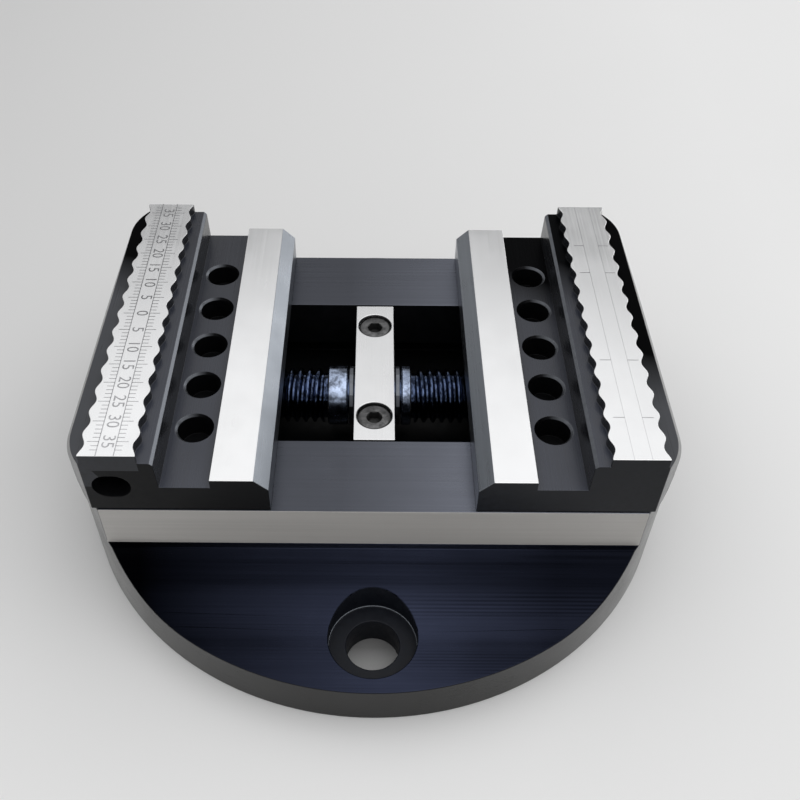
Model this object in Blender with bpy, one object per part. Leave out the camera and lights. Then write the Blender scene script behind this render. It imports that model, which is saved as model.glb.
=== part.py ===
# Self-centering vise on a round base, jaws opened to their resting place.
# Metres, +Z up. X is the jaws' travel, -Y is the front, and the origin is the centre of the underside.

import math

import bmesh
import bpy
from mathutils import Matrix, Vector

MM = 0.001
TURN = 2 * math.pi

# Driving dimensions
BODY_RADIUS = 65.0 * MM
BODY_TOP = 30.6 * MM
DISC_THICKNESS = 10.1 * MM
JAW_WIDTH = 77.0 * MM
JAW_OPENING = 19.4 * MM
SPINDLE_DEPTH = 8.5 * MM
THREAD_RADIUS = 6.0 * MM
THREAD_PITCH = 2.0 * MM
SCALLOP_PITCH = 5.5 * MM
GAP = 0.3 * MM

# How far cutters and joined stock run past the faces that they meet
OVERRUN = 2.0 * MM
EDGE_BREAK = 0.5 * MM

# Body: ground band, ledge below it and swept fillet down to the disc
BAND_HALF_WIDTH = 38.7 * MM
BAND_HEIGHT = 10.2 * MM
BAND_BOTTOM = BODY_TOP - BAND_HEIGHT
FLANK_LEDGE_WIDTH = 1.35 * MM
FILLET_RADIUS = 15.0 * MM
FILLET_STEPS = 8
END_CUT = 6.0 * MM
END_FLAT = BODY_RADIUS - END_CUT

# T-slot for the jaws' feet, and the web that the blind holes leave above the underside
SLOT_HALF_WIDTH = 20.9 * MM
SLOT_DEPTH = 19.0 * MM
SLOT_FLOOR = BODY_TOP - SLOT_DEPTH
LIP_THICKNESS = 12.0 * MM
LIP_UNDERSIDE = BODY_TOP - LIP_THICKNESS
UNDERCUT_DEPTH = 5.1 * MM
UNDERCUT_HALF_WIDTH = SLOT_HALF_WIDTH + UNDERCUT_DEPTH
BASE_WEB = 5.5 * MM
HOLE_BOTTOM_ROOM = 1.0 * MM
LOCATING_BORE_RADIUS = 10.0 * MM
LOCATING_BORE_DEPTH = 4.0 * MM

# Counterbored holes that bolt the body down
BOLT_EDGE_DISTANCE = 11.8 * MM
BOLT_HOLE_Y = BODY_RADIUS - BOLT_EDGE_DISTANCE
BOLT_HOLE_RADIUS = 5.25 * MM
BOLT_SHOULDER = 3.5 * MM
BOLT_SEAT_RADIUS = BOLT_HOLE_RADIUS + BOLT_SHOULDER
BOLT_SEAT_DEPTH = 3.3 * MM
BOLT_SEAT_HEIGHT = DISC_THICKNESS - BOLT_SEAT_DEPTH
BOLT_RELIEF_WIDTH = 0.55 * MM
BOLT_RELIEF_RADIUS = BOLT_SEAT_RADIUS + BOLT_RELIEF_WIDTH
BOLT_RELIEF_DEPTH = 0.2 * MM
BOLT_RELIEF_TOP = BAND_BOTTOM + OVERRUN

# Jaw profile heights, from the jaw's underside up
JAW_BOTTOM = BODY_TOP + GAP
TRENCH_WEB = 6.3 * MM
TRENCH_HEIGHT = JAW_BOTTOM + TRENCH_WEB
RIDGE_RISE = 2.1 * MM
RIDGE_HEIGHT = TRENCH_HEIGHT + RIDGE_RISE
LEDGE_RISE = 6.8 * MM
LEDGE_HEIGHT = TRENCH_HEIGHT + LEDGE_RISE
GRIP_RISE = 2.05 * MM
GRIP_HEIGHT = LEDGE_HEIGHT + GRIP_RISE

# Jaw profile across the travel, from the jaw's inner wall outward, with the jaws at rest
RIDGE_CHAMFER = 2.7 * MM
RIDGE_WIDTH = 8.1 * MM
RIDGE_OUTER = JAW_OPENING + RIDGE_CHAMFER + RIDGE_WIDTH
TRENCH_WIDTH = 9.4 * MM
TRENCH_OUTER = RIDGE_OUTER + TRENCH_WIDTH
LEDGE_LEAN = 0.2 * MM
LEDGE_INNER = TRENCH_OUTER + LEDGE_LEAN
LEDGE_EDGE_BREAK = 0.6 * MM
INNER_LEDGE_WIDTH = 2.7 * MM
GRIP_INNER = LEDGE_INNER + INNER_LEDGE_WIDTH
GRIP_WIDTH = 10.5 * MM
GRIP_OUTER = GRIP_INNER + GRIP_WIDTH
OUTER_LEDGE_WIDTH = 3.0 * MM
LEDGE_OUTER = GRIP_OUTER + OUTER_LEDGE_WIDTH
JAW_FLARE = 5.9 * MM
JAW_FOOT_OUTER = LEDGE_OUTER + JAW_FLARE
JAW_OVERHANG = 0.7 * MM
JAW_CORNER_RADIUS = BODY_RADIUS + JAW_OVERHANG
SCALLOP_DEPTH = 0.8 * MM
SCALLOP_STEPS = 6

# Holes in the jaws
TRENCH_HOLE_INSET = 4.85 * MM
TRENCH_HOLE_X = RIDGE_OUTER + TRENCH_HOLE_INSET
TRENCH_HOLE_SPACING = 11.8 * MM
TRENCH_HOLE_RADIUS = 3.3 * MM
TRENCH_HOLE_WEB = 1.1 * MM
TRENCH_HOLE_EDGE = 0.5 * MM
TRENCH_HOLES_EACH_SIDE = 2
SIDE_HOLE_INSET = 4.7 * MM
SIDE_HOLE_X = GRIP_OUTER - SIDE_HOLE_INSET
SIDE_HOLE_RISE = 6.5 * MM
SIDE_HOLE_HEIGHT = JAW_BOTTOM + SIDE_HOLE_RISE
SIDE_HOLE_LENGTH = 7.1 * MM
SIDE_HOLE_WIDTH = 5.9 * MM
SIDE_HOLE_DEPTH = 12.0 * MM

# Jaw foot in the slot
FOOT_INSET = 14.8 * MM
FOOT_LENGTH = 18.4 * MM
FOOT_INNER = JAW_OPENING + FOOT_INSET
FOOT_OUTER = FOOT_INNER + FOOT_LENGTH
FOOT_NECK_HALF_WIDTH = SLOT_HALF_WIDTH - GAP
FOOT_HALF_WIDTH = UNDERCUT_HALF_WIDTH - GAP
FOOT_FLANGE_TOP = LIP_UNDERSIDE - GAP
FOOT_BOTTOM = SLOT_FLOOR + GAP

# Spindle along X, with left-hand and right-hand threads either side of its neck
SPINDLE_HEIGHT = BODY_TOP - SPINDLE_DEPTH
THREAD_DEPTH = 1.0 * MM
JOURNAL_RADIUS = THREAD_RADIUS - THREAD_DEPTH
NECK_STEP = 2.0 * MM
NECK_RADIUS = THREAD_RADIUS - NECK_STEP
COLLAR_STEP = 0.55 * MM
COLLAR_RADIUS = THREAD_RADIUS + COLLAR_STEP
LEFT_COLLAR_LENGTH = 4.35 * MM
RIGHT_COLLAR_LENGTH = 2.15 * MM
COLLAR_EDGE = 0.3 * MM
THREAD_RELIEF = 0.8 * MM
THREAD_SETBACK = 3.5 * MM
THREAD_END = END_FLAT - THREAD_SETBACK
THREAD_CREST_SHARE = 0.34
THREAD_END_ROOM = 0.05 * MM
LINES_PER_TURN = 3
SPINDLE_SETBACK = 1.0 * MM
SPINDLE_END = END_FLAT - SPINDLE_SETBACK
DRIVE_ACROSS_FLATS = 6.0 * MM
DRIVE_DEPTH = 7.0 * MM
SPINDLE_SEGMENTS = 16

# Flanged spindle nut
NUT_BORE_RADIUS = THREAD_RADIUS + GAP
NUT_BARREL_WALL = 1.7 * MM
NUT_BARREL_RADIUS = NUT_BORE_RADIUS + NUT_BARREL_WALL
NUT_BARREL_LENGTH = 14.0 * MM
NUT_FLANGE_THICKNESS = 4.0 * MM
NUT_FLANGE_ROOM = 0.4 * MM
NUT_FLANGE_HALF_HEIGHT = JAW_BOTTOM - SPINDLE_HEIGHT - NUT_FLANGE_ROOM
NUT_FLANGE_CORNER = 1.5 * MM
NUT_SCREW_SPREAD = 4.4 * MM
NUT_SCREW_Y = NUT_BARREL_RADIUS + NUT_SCREW_SPREAD
NUT_FLANGE_MARGIN = 4.1 * MM
NUT_FLANGE_HALF_WIDTH = NUT_SCREW_Y + NUT_FLANGE_MARGIN
NUT_CLEARANCE = 0.8 * MM
NUT_CLEARANCE_RADIUS = THREAD_RADIUS + NUT_CLEARANCE

# Split centre bearing, its split washers, screws and dowels
BEARING_HALF_THICKNESS = 4.25 * MM
BEARING_HALF_LENGTH = SLOT_HALF_WIDTH - GAP
BEARING_BORE_RADIUS = NECK_RADIUS + GAP
BEARING_EDGE = 0.25 * MM
BEARING_SEAT_DEPTH = 4.6 * MM
BEARING_SCREW_Y = 13.85 * MM
WASHER_INSET = 0.15 * MM
WASHER_RADIUS = COLLAR_RADIUS - WASHER_INSET
WASHER_THICKNESS = 1.0 * MM
WASHER_EDGE = 0.15 * MM
NECK_HALF_LENGTH = BEARING_HALF_THICKNESS + GAP + WASHER_THICKNESS + GAP
DOWEL_Y = 8.0 * MM
DOWEL_RADIUS = 1.5 * MM
DOWEL_BOTTOM = BASE_WEB + HOLE_BOTTOM_ROOM
DOWEL_REACH = 4.9 * MM
DOWEL_TOP = SLOT_FLOOR + DOWEL_REACH

# Socket head screws: thread radius, head radius and height, length below the head, socket and its depth
BEARING_SCREW_TIP = BASE_WEB + HOLE_BOTTOM_ROOM
BEARING_SCREW_SEAT = BODY_TOP - BEARING_SEAT_DEPTH
BEARING_SCREW = dict(
    shank=2.0 * MM, head=3.45 * MM, head_height=3.7 * MM,
    length=BEARING_SCREW_SEAT + GAP - BEARING_SCREW_TIP,
    across_flats=3.0 * MM, socket_depth=2.0 * MM,
)
NUT_SCREW = dict(
    shank=2.0 * MM, head=3.5 * MM, head_height=2.2 * MM, length=11.0 * MM,
    across_flats=2.5 * MM, socket_depth=1.4 * MM,
)
NUT_SEAT_DEPTH = 2.5 * MM
SCREW_EDGE = 0.3 * MM

# Facets of round shapes
BODY_SEGMENTS = 96
BOLT_HOLE_SEGMENTS = 36
HOLE_SEGMENTS = 24
SCREW_SEGMENTS = 16
SMOOTH_ANGLE = 32

# Directions that shapes are built along
ALONG_X = Matrix(((0, 0, 1), (1, 0, 0), (0, 1, 0)))
ALONG_Y = Matrix(((1, 0, 0), (0, 0, 1), (0, -1, 0)))
ALONG_Z = Matrix.Identity(3)


def clear_scene():
    """Remove the objects that the new file starts with."""
    for obj in list(bpy.data.objects):
        bpy.data.objects.remove(obj, do_unlink=True)


def make_material(name, colour, roughness, metallic):
    """Return a Principled material in one plain colour."""
    material = bpy.data.materials.new(name)
    material.use_nodes = True
    shader = material.node_tree.nodes["Principled BSDF"]
    shader.inputs["Base Color"].default_value = (*colour, 1.0)
    shader.inputs["Roughness"].default_value = roughness
    shader.inputs["Metallic"].default_value = metallic
    material.diffuse_color = (*colour, 1.0)
    return material


def make_object(name, bm, material=None):
    """Turn a bmesh into a linked object with its normals facing out."""
    bmesh.ops.recalc_face_normals(bm, faces=bm.faces)
    mesh = bpy.data.meshes.new(name)
    bm.to_mesh(mesh)
    bm.free()
    obj = bpy.data.objects.new(name, mesh)
    bpy.context.collection.objects.link(obj)
    if material is not None:
        mesh.materials.append(material)
    return obj


def prism(outline, direction, start, end):
    """Extrude a closed outline along a direction, from start to end."""
    bm = bmesh.new()
    corners = [bm.verts.new(direction @ Vector((u, v, start))) for u, v in outline]
    face = bm.faces.new(corners)
    grown = bmesh.ops.extrude_face_region(bm, geom=[face])
    moved = [item for item in grown["geom"] if isinstance(item, bmesh.types.BMVert)]
    bmesh.ops.translate(bm, verts=moved, vec=direction @ Vector((0, 0, end - start)))
    return bm


def revolve(profile, direction, segments, centre=Vector((0, 0, 0))):
    """Spin a profile of (radius, distance) points, on the axis at both ends, round a direction."""
    bm = bmesh.new()
    chain = [bm.verts.new(Vector((radius, 0, along))) for radius, along in profile]
    edges = [bm.edges.new(pair) for pair in zip(chain, chain[1:])]
    bmesh.ops.spin(
        bm, geom=chain + edges, cent=(0, 0, 0), axis=(0, 0, 1), angle=TURN, steps=segments, use_merge=True,
    )
    bmesh.ops.remove_doubles(bm, verts=bm.verts, dist=GAP / 100)
    bmesh.ops.transform(bm, matrix=Matrix.Translation(centre) @ direction.to_4x4(), verts=bm.verts)
    return bm


def half_ring(inner, outer, start, end, edge, segments):
    """Return the upper half of a chamfered ring round Z, split along a plane half a gap above its axis."""
    bm = bmesh.new()
    profile = [
        (inner, start), (outer - edge, start), (outer, start + edge),
        (outer, end - edge), (outer - edge, end), (inner, end),
    ]
    chain = [bm.verts.new(Vector((radius, GAP / 2, along))) for radius, along in profile]
    face = bm.faces.new(chain)
    bmesh.ops.spin(
        bm, geom=[face], cent=(0, GAP / 2, 0), axis=(0, 0, 1), angle=TURN / 2, steps=segments // 2,
    )
    return bm


def stepped_pin(steps):
    """Return a profile for revolve from (radius, distance) steps, closed onto the axis."""
    return [(0, steps[0][1])] + list(steps) + [(0, steps[-1][1])]


def hexagon(across_flats):
    """Return the corners of a hexagon."""
    corner = across_flats / math.sqrt(3)
    sides = 6
    return [(corner * math.cos(TURN * i / sides), corner * math.sin(TURN * i / sides)) for i in range(sides)]


def rectangle(half_u, low_v, high_v):
    """Return a rectangle that is centred across and runs from low to high."""
    return [(-half_u, low_v), (half_u, low_v), (half_u, high_v), (-half_u, high_v)]


def combine(target, tool, operation):
    """Add a live Boolean to the target and hide its tool."""
    modifier = target.modifiers.new(tool.name, "BOOLEAN")
    modifier.operation = operation
    modifier.solver = "EXACT"
    modifier.object = tool
    tool.hide_render = True
    tool.display_type = "WIRE"
    tool.parent = target


def carve(target, name, bm):
    """Cut a shape out of the target."""
    combine(target, make_object(name, bm), "DIFFERENCE")


def weld(target, name, bm):
    """Join a shape to the target."""
    combine(target, make_object(name, bm), "UNION")


def keep_inside(target, name, bm):
    """Trim the target to what lies inside a shape."""
    combine(target, make_object(name, bm), "INTERSECT")


def set_origin(obj, place):
    """Move an object's origin and those of its tools to a place without moving their shapes."""
    obj.data.transform(Matrix.Translation(-place))
    obj.location = place
    for tool in obj.children:
        tool.data.transform(Matrix.Translation(-place))


def smooth_round_faces(obj):
    """Shade the round stretches smooth and leave real edges sharp."""
    obj.data.shade_smooth()
    obj.data.set_sharp_from_angle(angle=math.radians(SMOOTH_ANGLE))


def fillet_arc():
    """Return the swept fillet's points, from the ledge under the band down to the disc."""
    centre_height = DISC_THICKNESS + FILLET_RADIUS
    first = math.asin((centre_height - BAND_BOTTOM) / FILLET_RADIUS)
    last = math.pi / 2
    centre_across = BAND_HALF_WIDTH + FLANK_LEDGE_WIDTH + FILLET_RADIUS * math.cos(first)
    points = []
    for step in range(FILLET_STEPS + 1):
        angle = first + (last - first) * step / FILLET_STEPS
        across = centre_across - FILLET_RADIUS * math.cos(angle)
        points.append((across, centre_height - FILLET_RADIUS * math.sin(angle)))
    return points


def build_body(material):
    """Build the one-piece body: round disc, flanked block, slot and holes."""
    stock = revolve(
        stepped_pin([(BODY_RADIUS - EDGE_BREAK, 0), (BODY_RADIUS, EDGE_BREAK), (BODY_RADIUS, BODY_TOP)]),
        ALONG_Z, BODY_SEGMENTS,
    )
    body = make_object("vise_body", stock, material)
    far = BODY_RADIUS + OVERRUN
    above = BODY_TOP + OVERRUN
    for side, word in ((-1, "front"), (1, "rear")):
        waste = [(BAND_HALF_WIDTH, above), (BAND_HALF_WIDTH, BAND_BOTTOM)] + fillet_arc()
        waste += [(far, DISC_THICKNESS), (far, above)]
        outline = [(side * across, height) for across, height in waste]
        carve(body, f"{word}_flank_cut", prism(outline, ALONG_X, -far, far))
    for side, word in ((-1, "left"), (1, "right")):
        outline = rectangle(far, DISC_THICKNESS, above)
        carve(body, f"{word}_end_cut", prism(outline, ALONG_X, *sorted((side * END_FLAT, side * far))))
    slot = [
        (-SLOT_HALF_WIDTH, above), (-SLOT_HALF_WIDTH, LIP_UNDERSIDE), (-UNDERCUT_HALF_WIDTH, LIP_UNDERSIDE),
        (-UNDERCUT_HALF_WIDTH, SLOT_FLOOR), (UNDERCUT_HALF_WIDTH, SLOT_FLOOR),
        (UNDERCUT_HALF_WIDTH, LIP_UNDERSIDE), (SLOT_HALF_WIDTH, LIP_UNDERSIDE), (SLOT_HALF_WIDTH, above),
    ]
    carve(body, "slot_cut", prism(slot, ALONG_X, -far, far))
    relief_floor = DISC_THICKNESS - BOLT_RELIEF_DEPTH
    bolt_way = stepped_pin([
        (BOLT_HOLE_RADIUS, -OVERRUN), (BOLT_HOLE_RADIUS, BOLT_SEAT_HEIGHT),
        (BOLT_SEAT_RADIUS, BOLT_SEAT_HEIGHT), (BOLT_SEAT_RADIUS, relief_floor),
        (BOLT_RELIEF_RADIUS, relief_floor),
        (BOLT_RELIEF_RADIUS, BOLT_RELIEF_TOP),
    ])
    for side, word in ((-1, "front"), (1, "rear")):
        centre = Vector((0, side * BOLT_HOLE_Y, 0))
        carve(body, f"{word}_bolt_cut", revolve(bolt_way, ALONG_Z, BOLT_HOLE_SEGMENTS, centre))
        radius = BEARING_SCREW["shank"] + GAP
        hole = stepped_pin([(radius, BASE_WEB), (radius, SLOT_FLOOR + OVERRUN)])
        centre = Vector((0, side * BEARING_SCREW_Y, 0))
        carve(body, f"{word}_bearing_screw_cut", revolve(hole, ALONG_Z, SCREW_SEGMENTS, centre))
        hole = stepped_pin([(DOWEL_RADIUS + GAP, BASE_WEB), (DOWEL_RADIUS + GAP, SLOT_FLOOR + OVERRUN)])
        centre = Vector((0, side * DOWEL_Y, 0))
        carve(body, f"{word}_dowel_cut", revolve(hole, ALONG_Z, SCREW_SEGMENTS, centre))
    bore = stepped_pin([(LOCATING_BORE_RADIUS, -OVERRUN), (LOCATING_BORE_RADIUS, LOCATING_BORE_DEPTH)])
    carve(body, "locating_bore_cut", revolve(bore, ALONG_Z, HOLE_SEGMENTS))
    smooth_round_faces(body)
    return body


def grip_outline():
    """Return one jaw's serrated gripping ridge in plan, with rounded scallops along both edges."""
    count = round(JAW_WIDTH / SCALLOP_PITCH) * SCALLOP_STEPS
    inner = []
    outer = []
    for step in range(count + 1):
        along = JAW_WIDTH * (step / count) - JAW_WIDTH / 2
        bite = SCALLOP_DEPTH * (1 - math.cos(TURN * step / SCALLOP_STEPS)) / 2
        inner.append((GRIP_INNER + bite, along))
        outer.append((GRIP_OUTER - bite, along))
    return inner + outer[::-1]


def mirrored(outline, side):
    """Flip an outline's first value to the left side of the vise."""
    return [(side * u, v) for u, v in outline]


def build_jaw(side, word, material):
    """Build one jaw with its foot in the slot; side is -1 for left and 1 for right."""
    half = JAW_WIDTH / 2
    profile = [
        (JAW_OPENING, JAW_BOTTOM), (JAW_FOOT_OUTER, JAW_BOTTOM), (LEDGE_OUTER, LEDGE_HEIGHT),
        (LEDGE_INNER + LEDGE_EDGE_BREAK, LEDGE_HEIGHT), (LEDGE_INNER, LEDGE_HEIGHT - LEDGE_EDGE_BREAK),
        (TRENCH_OUTER, TRENCH_HEIGHT), (RIDGE_OUTER, TRENCH_HEIGHT), (RIDGE_OUTER, RIDGE_HEIGHT),
        (JAW_OPENING + RIDGE_CHAMFER, RIDGE_HEIGHT), (JAW_OPENING, RIDGE_HEIGHT - RIDGE_CHAMFER),
    ]
    flat = [(u, -v) for u, v in mirrored(profile, side)]
    jaw = make_object(f"{word}_jaw", prism(flat, ALONG_Y, -half, half), material)
    round_stock = stepped_pin([
        (JAW_CORNER_RADIUS, JAW_BOTTOM - OVERRUN), (JAW_CORNER_RADIUS, LEDGE_HEIGHT + OVERRUN),
    ])
    keep_inside(jaw, f"{word}_round_stock", revolve(round_stock, ALONG_Z, BODY_SEGMENTS))
    ridge = prism(mirrored(grip_outline(), side), ALONG_Z, LEDGE_HEIGHT - OVERRUN, GRIP_HEIGHT)
    weld(jaw, f"{word}_grip_ridge", ridge)
    top = JAW_BOTTOM + OVERRUN
    foot = [
        (-FOOT_NECK_HALF_WIDTH, top), (-FOOT_NECK_HALF_WIDTH, FOOT_FLANGE_TOP),
        (-FOOT_HALF_WIDTH, FOOT_FLANGE_TOP), (-FOOT_HALF_WIDTH, FOOT_BOTTOM),
        (FOOT_HALF_WIDTH, FOOT_BOTTOM), (FOOT_HALF_WIDTH, FOOT_FLANGE_TOP),
        (FOOT_NECK_HALF_WIDTH, FOOT_FLANGE_TOP), (FOOT_NECK_HALF_WIDTH, top),
    ]
    weld(jaw, f"{word}_foot", prism(foot, ALONG_X, *sorted((side * FOOT_INNER, side * FOOT_OUTER))))
    barrel_end = FOOT_INNER - GAP + NUT_BARREL_LENGTH + GAP
    barrel_way = NUT_BARREL_RADIUS + GAP
    nut_way = stepped_pin([
        (barrel_way, side * (FOOT_INNER - OVERRUN)), (barrel_way, side * barrel_end),
        (NUT_CLEARANCE_RADIUS, side * barrel_end), (NUT_CLEARANCE_RADIUS, side * (FOOT_OUTER + OVERRUN)),
    ])
    centre = Vector((0, 0, SPINDLE_HEIGHT))
    carve(jaw, f"{word}_nut_cut", revolve(nut_way, ALONG_X, HOLE_SEGMENTS, centre))
    for along, end in ((-1, "front"), (1, "rear")):
        tip = FOOT_INNER - GAP - NUT_FLANGE_THICKNESS + NUT_SEAT_DEPTH + NUT_SCREW["length"]
        radius = NUT_SCREW["shank"] + GAP
        hole = stepped_pin([
            (radius, side * (FOOT_INNER - OVERRUN)), (radius, side * (tip + HOLE_BOTTOM_ROOM)),
        ])
        centre = Vector((0, along * NUT_SCREW_Y, SPINDLE_HEIGHT))
        carve(jaw, f"{word}_{end}_nut_screw_cut", revolve(hole, ALONG_X, SCREW_SEGMENTS, centre))
    floor = JAW_BOTTOM + TRENCH_HOLE_WEB
    rim = TRENCH_HOLE_RADIUS + TRENCH_HOLE_EDGE
    pocket = stepped_pin([
        (TRENCH_HOLE_RADIUS, floor), (TRENCH_HOLE_RADIUS, TRENCH_HEIGHT - TRENCH_HOLE_EDGE),
        (rim, TRENCH_HEIGHT), (rim, TRENCH_HEIGHT + OVERRUN),
    ])
    for index in range(-TRENCH_HOLES_EACH_SIDE, TRENCH_HOLES_EACH_SIDE + 1):
        centre = Vector((side * TRENCH_HOLE_X, index * TRENCH_HOLE_SPACING, 0))
        number = index + TRENCH_HOLES_EACH_SIDE + 1
        carve(jaw, f"{word}_trench_hole_{number}", revolve(pocket, ALONG_Z, SCREW_SEGMENTS, centre))
    if side < 0:
        carve(jaw, "left_side_hole", side_hole(side, half))
    set_origin(jaw, Vector((side * (FOOT_INNER + FOOT_OUTER) / 2, 0, SPINDLE_HEIGHT)))
    smooth_round_faces(jaw)
    return jaw


def side_hole(side, half):
    """Return the oblong hole in the front face of the left jaw."""
    radius = SIDE_HOLE_WIDTH / 2
    straight = (SIDE_HOLE_LENGTH - SIDE_HOLE_WIDTH) / 2
    outline = []
    for end in (1, -1):
        for step in range(HOLE_SEGMENTS // 2 + 1):
            angle = math.pi * step / (HOLE_SEGMENTS // 2) - math.pi / 2
            across = side * SIDE_HOLE_X + end * (straight + radius * math.cos(angle))
            outline.append((across, -(SIDE_HOLE_HEIGHT + end * radius * math.sin(angle))))
    return prism(outline, ALONG_Y, -half - OVERRUN, -half + SIDE_HOLE_DEPTH)


def build_nut(side, word, material):
    """Build one flanged spindle nut with seats for its screws."""
    inner = FOOT_INNER - GAP - NUT_FLANGE_THICKNESS
    flange_face = FOOT_INNER - GAP
    low = SPINDLE_HEIGHT - NUT_FLANGE_HALF_HEIGHT
    high = SPINDLE_HEIGHT + NUT_FLANGE_HALF_HEIGHT
    narrow = NUT_FLANGE_HALF_WIDTH - NUT_FLANGE_CORNER
    outline = [
        (-narrow, low), (narrow, low), (NUT_FLANGE_HALF_WIDTH, low + NUT_FLANGE_CORNER),
        (NUT_FLANGE_HALF_WIDTH, high - NUT_FLANGE_CORNER), (narrow, high), (-narrow, high),
        (-NUT_FLANGE_HALF_WIDTH, high - NUT_FLANGE_CORNER), (-NUT_FLANGE_HALF_WIDTH, low + NUT_FLANGE_CORNER),
    ]
    flange = prism(outline, ALONG_X, *sorted((side * inner, side * flange_face)))
    nut = make_object(f"{word}_nut", flange, material)
    middle = (inner + flange_face) / 2
    barrel = stepped_pin([
        (NUT_BARREL_RADIUS, side * middle), (NUT_BARREL_RADIUS, side * (flange_face + NUT_BARREL_LENGTH)),
    ])
    centre = Vector((0, 0, SPINDLE_HEIGHT))
    weld(nut, f"{word}_nut_barrel", revolve(barrel, ALONG_X, HOLE_SEGMENTS, centre))
    bore = stepped_pin([
        (NUT_BORE_RADIUS, side * (inner - OVERRUN)),
        (NUT_BORE_RADIUS, side * (flange_face + NUT_BARREL_LENGTH + OVERRUN)),
    ])
    carve(nut, f"{word}_nut_bore", revolve(bore, ALONG_X, HOLE_SEGMENTS, centre))
    seat = inner + NUT_SEAT_DEPTH
    head = NUT_SCREW["head"] + GAP
    shank = NUT_SCREW["shank"] + GAP
    for along, end in ((-1, "front"), (1, "rear")):
        way = stepped_pin([
            (head, side * (inner - OVERRUN)), (head, side * seat),
            (shank, side * seat), (shank, side * (flange_face + OVERRUN)),
        ])
        centre = Vector((0, along * NUT_SCREW_Y, SPINDLE_HEIGHT))
        carve(nut, f"{word}_nut_{end}_seat", revolve(way, ALONG_X, SCREW_SEGMENTS, centre))
        screw = build_screw(f"{word}_nut_screw_{end}", NUT_SCREW, MATERIALS["screw"])
        place_screw(screw, Vector((side * (seat - GAP), along * NUT_SCREW_Y, SPINDLE_HEIGHT)), (side, 0, 0))
    set_origin(nut, Vector((side * flange_face, 0, SPINDLE_HEIGHT)))
    smooth_round_faces(nut)
    return nut


def build_screw(name, size, material):
    """Build a socket head screw along -Z with the underside of its head at the origin."""
    profile = stepped_pin([
        (size["shank"] - SCREW_EDGE, -size["length"]), (size["shank"], SCREW_EDGE - size["length"]),
        (size["shank"], 0), (size["head"], 0),
        (size["head"], size["head_height"] - SCREW_EDGE), (size["head"] - SCREW_EDGE, size["head_height"]),
    ])
    screw = make_object(name, revolve(profile, ALONG_Z, SCREW_SEGMENTS), material)
    socket_floor = size["head_height"] - size["socket_depth"]
    socket = prism(hexagon(size["across_flats"]), ALONG_Z, socket_floor, size["head_height"] + OVERRUN)
    carve(screw, f"{name}_socket", socket)
    smooth_round_faces(screw)
    return screw


def place_screw(screw, seat, inward):
    """Put the underside of a screw's head on a seat, with its shank pointing inward."""
    screw.rotation_mode = "QUATERNION"
    screw.rotation_quaternion = Vector((0, 0, -1)).rotation_difference(Vector(inward))
    screw.location = seat


def thread_rows(start, end):
    """Return (distance, radius) of the thread's helical lines where they cross the zero angle."""
    slope = (1 - THREAD_CREST_SHARE) / 2
    shares = (0, slope, slope + THREAD_CREST_SHARE)
    radii = (JOURNAL_RADIUS, THREAD_RADIUS, THREAD_RADIUS)
    rows = []
    turns = math.ceil((end - start) / THREAD_PITCH) + 1
    for turn in range(-1, turns):
        for share, radius in zip(shares, radii):
            rows.append((start + (turn + share) * THREAD_PITCH, radius))
    return rows


def add_thread(bm, side, first_ring, start, last_ring, end):
    """Skin a helical thread between two rings; the right side is right-handed, the left is left-handed."""
    columns = []
    for step in range(SPINDLE_SEGMENTS):
        angle = TURN * step / SPINDLE_SEGMENTS
        column = {}
        for index, (distance, radius) in enumerate(thread_rows(start, end)):
            along = distance + THREAD_PITCH * step / SPINDLE_SEGMENTS
            if start + THREAD_END_ROOM < along < end - THREAD_END_ROOM:
                place = Vector((side * along, radius * math.cos(angle), radius * math.sin(angle)))
                column[index] = bm.verts.new(place)
        columns.append(column)
    for step in range(SPINDLE_SEGMENTS):
        after = (step + 1) % SPINDLE_SEGMENTS
        shift = LINES_PER_TURN if after == 0 else 0
        near = columns[step]
        far = {index - shift: vert for index, vert in columns[after].items()}
        shared = sorted(set(near) & set(far))
        bridge_rows(bm, near, far, shared)
        close_end(bm, near, far, shared[0], first_ring[step], first_ring[after], -1)
        close_end(bm, near, far, shared[-1], last_ring[step], last_ring[after], 1)


def bridge_rows(bm, near, far, shared):
    """Join the helical lines that two neighbouring columns share."""
    for low, high in zip(shared, shared[1:]):
        bm.faces.new((near[low], far[low], far[high], near[high]))


def close_end(bm, near, far, last, near_ring, far_ring, way):
    """Join what is left of two columns beyond their last shared line to the ring beside them."""
    outline = [near[last]]
    outline += [near[index] for index in sorted(near, reverse=way < 0) if (index - last) * way > 0]
    outline += [near_ring, far_ring]
    outline += [far[index] for index in sorted(far, reverse=way > 0) if (index - last) * way > 0]
    outline.append(far[last])
    bm.faces.new(outline)


def ring_verts(bm, along, radius):
    """Add a ring of vertices round the spindle's axis."""
    verts = []
    for step in range(SPINDLE_SEGMENTS):
        angle = TURN * step / SPINDLE_SEGMENTS
        verts.append(bm.verts.new(Vector((along, radius * math.cos(angle), radius * math.sin(angle)))))
    return verts


def skin_rings(bm, rings):
    """Join rings of vertices in their order."""
    for low, high in zip(rings, rings[1:]):
        for step in range(SPINDLE_SEGMENTS):
            after = (step + 1) % SPINDLE_SEGMENTS
            bm.faces.new((low[step], low[after], high[after], high[step]))


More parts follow.
